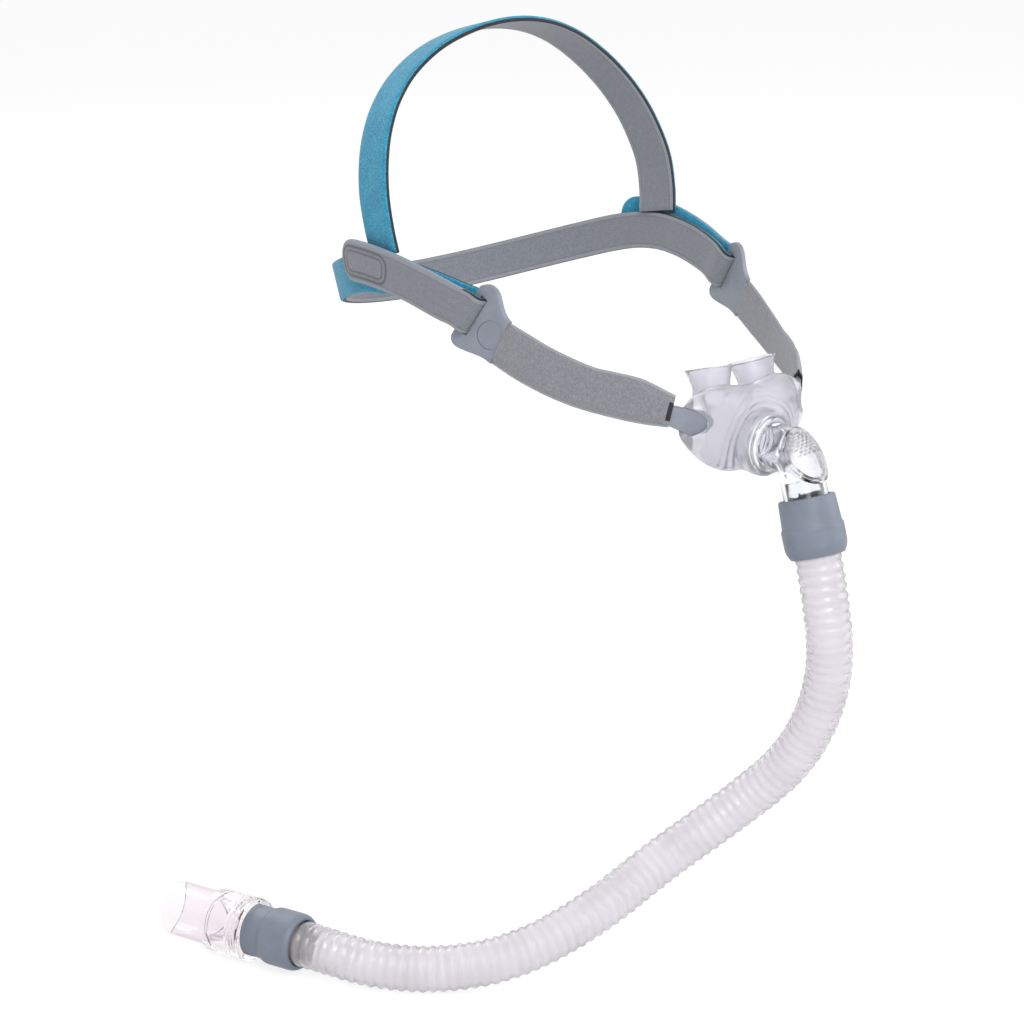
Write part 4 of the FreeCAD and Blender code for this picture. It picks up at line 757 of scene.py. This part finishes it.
BAR = mm(-68.695, 65.540, 25.804)
BAR_DOWN = Vector((-0.1033, 0.5634, -0.8197)).normalized()
BAR_OUT = Vector((-0.9836, -0.1803, 0.0)).normalized()
LAYER = 0.00335
BAND_ROUTE = [(68.4, 74.0, 28.4), (70.9, 86.0, 31.2), (72.7, 98.0, 32.9), (73.9, 110.0, 33.4),
              (73.4, 123.0, 32.2), (70.6, 136.0, 29.2), (64.8, 150.0, 24.8), (54.8, 165.0, 19.6),
              (39.5, 178.0, 14.6), (20.5, 186.0, 11.2)]
TAIL_ROUTE = [(73.2, 74.0, 28.2), (75.3, 86.0, 31.8), (76.9, 98.0, 34.8), (78.1, 110.0, 36.8),
              (77.7, 122.0, 37.4), (75.5, 134.0, 36.6)]
CROWN_ROUTE = [(73.9, 110.5, 41.9), (75.2, 112.3, 52.0), (75.2, 115.0, 64.0), (72.6, 118.5, 75.5),
               (68.0, 122.0, 86.5), (60.5, 125.5, 97.5), (49.5, 128.0, 108.0), (35.0, 128.5, 117.0),
               (18.0, 127.5, 122.8)]


def head_out(point, steepness):
    """Way out from the head, which the straps lie flat on."""
    away = point / MM - Vector((0, 98, 50.6))
    return Vector((away.x / 76 ** 2, away.y / 101 ** 2, steepness * away.z / 79 ** 2)).normalized()


def mirror_point(point):
    return Vector((-point.x, point.y, point.z))


def strap_columns(width, thickness):
    """Round a strap's section: distance across, depth, and which layer each side of it shows."""
    half, rim, thick = width / 2, 0.0006, thickness / 2
    flat = [-(half - rim) + 2 * (half - rim) * i / 10 for i in range(11)]
    columns = [(a, thick, "face") for a in flat]
    columns += [(half - rim * 0.3, thick * 0.8, "face"), (half, thick * 0.25, "face"),
                (half, -thick * 0.5, "edge"), (half - rim * 0.3, -thick * 0.85, "back")]
    columns += [(a, -thick, "back") for a in reversed(flat)]
    columns += [(-half + rim * 0.3, -thick * 0.85, "back"), (-half, -thick * 0.5, "edge"),
                (-half, thick * 0.25, "face"), (-half + rim * 0.3, thick * 0.8, "face")]
    return columns


def strap_layer(columns, low, high):
    """What the skin between two neighbouring columns is."""
    kinds = {columns[low][2], columns[high][2]}
    return "edge" if "edge" in kinds or len(kinds) == 2 else kinds.pop()


def lay_strap(name, stations, thickness, finishes, node, welded=0.0):
    """A strap through stations of (centre, across, face direction, width, distance along). Its
    ends are welded, so that the laminate's cut edge doesn't show there, for some length."""
    rings = []
    for centre, across, face, width, along in stations:
        columns = strap_columns(width, thickness)
        rings.append(([centre + across * a + face * d for a, d, kind in columns],
                      [{"across": a, "along": along, "half_width": width / 2} for a, d, kind in columns]))
    bm, index = extruded_tube(rings)
    along = bm.verts.layers.float["along"]
    layer_slot = {"face": 0, "edge": 1, "back": 2}
    template = strap_columns(stations[0][3], thickness)
    count = len(template)
    for skin in bm.faces:
        used = sorted({vert[index] for vert in skin.verts})
        if len(used) == 2:
            low, high = used if used[1] - used[0] == 1 else (used[1], used[0])
            kind = strap_layer(template, low, high)
            if kind == "edge" and min(vert[along] for vert in skin.verts) < welded:
                kind = "back"
            skin.material_index = layer_slot[kind]
        else:
            skin.material_index = 1
    return keep(name, bm, finishes, "mask", [node])


def ease(value):
    value = min(1.0, max(0.0, value))
    return value * value * (3 - 2 * value)


def frame_at(line, i, steepness, turned_in, near_bar):
    """Across and face directions of the strap at a point, eased into the buckle's bar."""
    run = (line[min(i + 1, len(line) - 1)] - line[max(i - 1, 0)]).normalized()
    out = head_out(line[i], steepness)
    out = (out - run * out.dot(run)).normalized()
    face = -out if turned_in else out
    across = run.cross(face)
    if near_bar is not None:
        bar_across, bar_face, share = near_bar
        across = bar_across.lerp(across, share).normalized()
        face = bar_face.lerp(face, share)
        face = (face - across * face.dot(across)).normalized()
    return across, face


def half_band():
    """Stations of the right half of the rear strap, from its folded end to the back of the head."""
    size = sizes()
    up = -BAR_DOWN
    forward = BAR_OUT.cross(BAR_DOWN).normalized()
    if forward.y > 0:
        forward = -forward
    outer, inner = BAR + BAR_OUT * LAYER, BAR - BAR_OUT * LAYER
    tail = [mm(-x, y, z) for x, y, z in reversed(TAIL_ROUTE)] + [outer]
    tail_line = smooth_path(tail, 0.001, after=outer + forward * 0.01)
    corner = 0.0080
    stations = []
    walked = 0.0
    for i, point in enumerate(tail_line):
        if i:
            walked += (point - tail_line[i - 1]).length
        width = size.tail_width
        if walked < corner:
            width -= 2 * (corner - math.sqrt(max(0.0, corner ** 2 - (corner - walked) ** 2)))
        left = (tail_line[-1] - point).length
        across, face = frame_at(tail_line, i, 0.5, True, (up, -BAR_OUT, ease(left / 0.03)))
        stations.append((point, across, face, width, walked))
    for k in range(1, 12):
        angle = math.pi * k / 12
        radial = BAR_OUT * math.cos(angle) + forward * math.sin(angle)
        walked += LAYER * math.pi / 12
        stations.append((BAR + radial * LAYER, up, -radial, size.tail_width, walked))
    band = [inner] + [mm(-x, y, z) for x, y, z in BAND_ROUTE] + [mm(0, 188.5, 10.0)]
    band_line = smooth_path(band, 0.002, before=inner + forward * 0.01, after=mm(20.5, 186.0, 11.2))
    for i, point in enumerate(band_line):
        if i:
            walked += (point - band_line[i - 1]).length
        gone = (point - band_line[0]).length
        share = ease(gone / 0.03)
        width = size.tail_width + (size.band_width - size.tail_width) * share
        across, face = frame_at(band_line, i, 0.5, False, (up, BAR_OUT, share))
        stations.append((point, across, face, width, walked))
    return stations


class MASK_OT_rear_band(bpy.types.Operator):
    """Lay the strap round the back of the head and fold it round both buckles"""
    bl_idname = "mask.rear_band"
    bl_label = "Lay Rear Band"

    def execute(self, context):
        right = half_band()
        last = right[-1]
        right[-1] = (last[0], Vector((0, last[1].y, last[1].z)).normalized(),
                     Vector((0, last[2].y, last[2].z)).normalized(), last[3], last[4])
        left = [(mirror_point(c), mirror_point(a), mirror_point(f), w, s) for c, a, f, w, s in right[:-1]]
        lay_strap("rear_band_laminate", right + left[::-1], sizes().strap_thickness,
                  ["strap", "foam", "lining"], "rear_band", welded=0.066)
        return {"FINISHED"}


class MASK_OT_crown_strap(bpy.types.Operator):
    """Lay the strap over the head"""
    bl_idname = "mask.crown_strap"
    bl_label = "Lay Crown Strap"

    def execute(self, context):
        size = sizes()
        right = [mm(-x, y, z) for x, y, z in CROWN_ROUTE]
        line = smooth_path(right + [mm(0, 127.0, 124.8)] + [mirror_point(p) for p in reversed(right)], 0.002)
        stations = []
        for i, point in enumerate(line):
            across, face = frame_at(line, i, 1.0, False, None)
            stations.append((point, across, face, size.crown_width, i * 0.002 + 0.1))
        lay_strap("crown_strap_laminate", stations, size.strap_thickness, ["strap", "foam", "lining"],
                  "crown_strap")
        return {"FINISHED"}


# Arm sleeves

CHEEK = [(23.5, -22.3), (26.5, -19.6), (34.0, -13.0), (44.0, -1.0), (54.0, 16.0), (62.0, 34.0),
         (68.0, 54.0), (71.5, 72.0), (73.2, 86.0)]
SLEEVE_TOP = [(-12.6, 0.6), (-3.3, 6.2), (6.5, 8.4), (14.2, 9.8), (28.4, 15.1), (37.0, 19.0), (46.2, 23.0)]
SLEEVE_BOTTOM = [(-10.6, -11.9), (-3.5, -11.1), (6.4, -9.5), (22.5, -6.1), (40.7, 0.0), (54.4, 6.0)]


def cheek_at(y, line):
    """Where the arm's outer face is at this y, and the way out from it, on the +X side."""
    low, high = 0, len(line) - 1
    while high - low > 1:
        middle = (low + high) // 2
        if line[middle].y < y:
            low = middle
        else:
            high = middle
    share = (y - line[low].y) / (line[high].y - line[low].y)
    run = (line[high] - line[low]).normalized()
    return line[low].lerp(line[high], share), Vector((run.y, -run.x, 0))


def arm_sleeve(side, name, node):
    plan = smooth_path([mm(x, y, 0) for x, y in CHEEK], 0.0005)
    steps = 48
    top = resampled([mm(0, y, z) for y, z in SLEEVE_TOP], steps)
    bottom = resampled([mm(0, y, z) for y, z in SLEEVE_BOTTOM], steps)
    across_steps = 18
    half_thick = 0.0017

    def ring(high, low, inset, push, step=9):
        points, values = [], []
        half = (high - low).length / 2
        row = [(k / across_steps, 1) for k in range(across_steps + 1)]
        row += [(k / across_steps, -1) for k in range(across_steps - 1, 0, -1)]
        for share, face in row:
            from_edge = min(share, 1 - share) * half * 2
            puff = 0.00042 + (half_thick - 0.00042) * ease((from_edge - 0.0011) / 0.0022)
            if share in (0, 1):
                puff = 0.0
            inner = 0.5 + (share - 0.5) * (1 - inset)
            spot = low.lerp(high, inner)
            at, out = cheek_at(spot.y + push, plan)
            out = Vector((out.x, out.y, 0))
            depth = -half_thick + face * puff * (1 - inset * 0.35)
            point = Vector((at.x, at.y, spot.z)) + out * depth
            points.append(Vector((side * point.x, point.y, point.z)))
            values.append({"across": (share - 0.5) * 2 * half, "half_width": half, "step": step})
        return points, values

    rings = [ring(top[0], bottom[0], 0.36, 0.003, 0), ring(top[0], bottom[0], 0.34, 0.0004, 1),
             ring(top[0], bottom[0], 0.12, 0.0, 2)]
    rings += [ring(a, b, 0.0, 0.0, 3 + i) for i, (a, b) in enumerate(zip(top, bottom))]
    rings += [ring(top[-1], bottom[-1], 0.12, 0.0002), ring(top[-1], bottom[-1], 0.34, 0.0),
              ring(top[-1], bottom[-1], 0.36, -0.003)]
    bm, index = extruded_tube(rings)
    step, across = bm.verts.layers.float["step"], bm.verts.layers.float["across"]
    # Painted shade: the mouth's inset rings, and the middle of the strip's first steps beside the arm's tab,
    # take the dark finish where the sleeve's open end is in shade.
    for skin in bm.faces:
        steps_used = [vert[step] for vert in skin.verts]
        middle = max(abs(vert[across]) for vert in skin.verts) < 0.0044
        if min(steps_used) < 3 or (max(steps_used) < 5 and middle):
            skin.material_index = 1
    return keep(name, bm, ["knit", "foam"], "mask", [node])


def resampled(points, count):
    """A number of even points on a smooth line through the given ones."""
    line = smooth_path(points, 0.0002)
    return [line[round(i * (len(line) - 1) / count)] for i in range(count + 1)]


class MASK_OT_sleeves(bpy.types.Operator):
    """Knit the sleeves over both side arms"""
    bl_idname = "mask.sleeves"
    bl_label = "Knit Arm Sleeves"

    def execute(self, context):
        arm_sleeve(-1, "arm_sleeve_right_knit", "arm_sleeve_right")
        arm_sleeve(1, "arm_sleeve_left_knit", "arm_sleeve_left")
        return {"FINISHED"}


# Stage

CAMERA_PLACE = (-0.7339, -0.7245, 0.2415)
CAMERA_TURN = math.radians(-41)
CAMERA_RISE = math.radians(16)


class MASK_OT_stage(bpy.types.Operator):
    """Set the pale floor, the soft lights and the camera"""
    bl_idname = "mask.stage"
    bl_label = "Set Stage"

    def execute(self, context):
        scene = context.scene
        scene.view_settings.view_transform = "Standard"
        bm = bmesh.new()
        bmesh.ops.create_grid(bm, x_segments=1, y_segments=1, size=6.0)
        bmesh.ops.translate(bm, verts=bm.verts, vec=(0, 0, -0.2282))
        mesh = bpy.data.meshes.new("floor")
        bm.to_mesh(mesh)
        bm.free()
        floor = bpy.data.objects.new("floor", mesh)
        scene.collection.objects.link(floor)
        material = bpy.data.materials.new("pale_floor")
        material.use_nodes = True
        tree = material.node_tree
        tree.nodes.clear()
        matt = add(tree, "ShaderNodeBsdfDiffuse", {"Color": (0.92, 0.92, 0.92, 1)})
        glow = add(tree, "ShaderNodeEmission", {"Color": (1, 1, 1, 1), "Strength": 1.14})
        path = tree.nodes.new("ShaderNodeLightPath").outputs
        seen = maths(tree, "MAXIMUM", path["Is Camera Ray"],
                     maths(tree, "MAXIMUM", path["Is Glossy Ray"], path["Is Transmission Ray"]))
        mixed = add(tree, "ShaderNodeMixShader", {0: maths(tree, "MULTIPLY", seen, 0.72)})
        tree.links.new(matt.outputs[0], mixed.inputs[1])
        tree.links.new(glow.outputs[0], mixed.inputs[2])
        result = tree.nodes.new("ShaderNodeOutputMaterial")
        tree.links.new(mixed.outputs[0], result.inputs[0])
        mesh.materials.append(material)

        world = bpy.data.worlds.new("studio")
        scene.world = world
        world.use_nodes = True
        tree = world.node_tree
        tree.nodes.clear()
        path = tree.nodes.new("ShaderNodeLightPath").outputs
        seen = maths(tree, "MAXIMUM", path["Is Camera Ray"],
                     maths(tree, "MAXIMUM", path["Is Glossy Ray"], path["Is Transmission Ray"]))
        dim = add(tree, "ShaderNodeBackground", {"Color": (1, 1, 1, 1), "Strength": 0.55})
        white = add(tree, "ShaderNodeBackground", {"Color": (1, 1, 1, 1), "Strength": 1.0})
        mixed = add(tree, "ShaderNodeMixShader", {0: seen})
        tree.links.new(dim.outputs[0], mixed.inputs[1])
        tree.links.new(white.outputs[0], mixed.inputs[2])
        result = tree.nodes.new("ShaderNodeOutputWorld")
        tree.links.new(mixed.outputs[0], result.inputs[0])

        middle = Vector((-0.02, 0.03, -0.06))
        for name, place, size, power in (
                ("key_light", (-0.9, -1.3, 1.3), 0.9, 26.0),
                ("fill_light", (1.3, -0.9, 0.6), 1.2, 9.0),
                ("back_light", (0.2, 1.5, 1.2), 1.0, 12.0)):
            data = bpy.data.lights.new(name, "AREA")
            data.shape = "SQUARE"
            data.size = size
            data.energy = power
            lamp = bpy.data.objects.new(name, data)
            scene.collection.objects.link(lamp)
            lamp.location = place
            lamp.rotation_euler = (middle - Vector(place)).to_track_quat("-Z", "Y").to_euler()

        data = bpy.data.cameras.new("camera")
        data.sensor_width = 36.0
        data.sensor_fit = "HORIZONTAL"
        data.lens = 96.86
        data.clip_start, data.clip_end = 0.05, 20.0
        camera = bpy.data.objects.new("camera", data)
        scene.collection.objects.link(camera)
        back = Vector((math.sin(CAMERA_TURN) * math.cos(CAMERA_RISE),
                       -math.cos(CAMERA_TURN) * math.cos(CAMERA_RISE), math.sin(CAMERA_RISE)))
        camera.location = CAMERA_PLACE
        camera.rotation_euler = (-back).to_track_quat("-Z", "Y").to_euler()
        scene.camera = camera
        return {"FINISHED"}


OPERATORS = (MASK_OT_finishes, MASK_OT_stage, MASK_OT_cushion, MASK_OT_moulded, MASK_OT_cuffs, MASK_OT_hose,
             MASK_OT_sleeves, MASK_OT_rear_band, MASK_OT_crown_strap)


class MASK_PT_panel(bpy.types.Panel):
    """Lists the mask's pieces"""
    bl_label = "Nasal Pillows Mask"
    bl_idname = "MASK_PT_panel"
    bl_space_type = "VIEW_3D"
    bl_region_type = "UI"
    bl_category = "Mask"

    def draw(self, context):
        for operator in OPERATORS:
            self.layout.operator(operator.bl_idname)
        for settings in (context.scene.mask_sizes, context.scene.mask_colours):
            box = self.layout.box()
            for key in settings.bl_rna.properties.keys():
                if key not in ("rna_type", "name"):
                    box.prop(settings, key)


CLASSES = (MaskSizes, MaskColours) + OPERATORS + (MASK_PT_panel,)


def register():
    for item in CLASSES:
        bpy.utils.register_class(item)
    bpy.types.Scene.mask_sizes = PointerProperty(type=MaskSizes)
    bpy.types.Scene.mask_colours = PointerProperty(type=MaskColours)


def unregister():
    del bpy.types.Scene.mask_colours
    del bpy.types.Scene.mask_sizes
    for item in reversed(CLASSES):
        bpy.utils.unregister_class(item)


def main():
    register()
    bpy.ops.mask.finishes()
    bpy.ops.mask.stage()
    bpy.ops.mask.cushion()
    bpy.ops.mask.moulded()
    bpy.ops.mask.cuffs()
    bpy.ops.mask.hose()
    bpy.ops.mask.sleeves()
    bpy.ops.mask.rear_band()
    bpy.ops.mask.crown_strap()


if __name__ == "__main__":
    main()
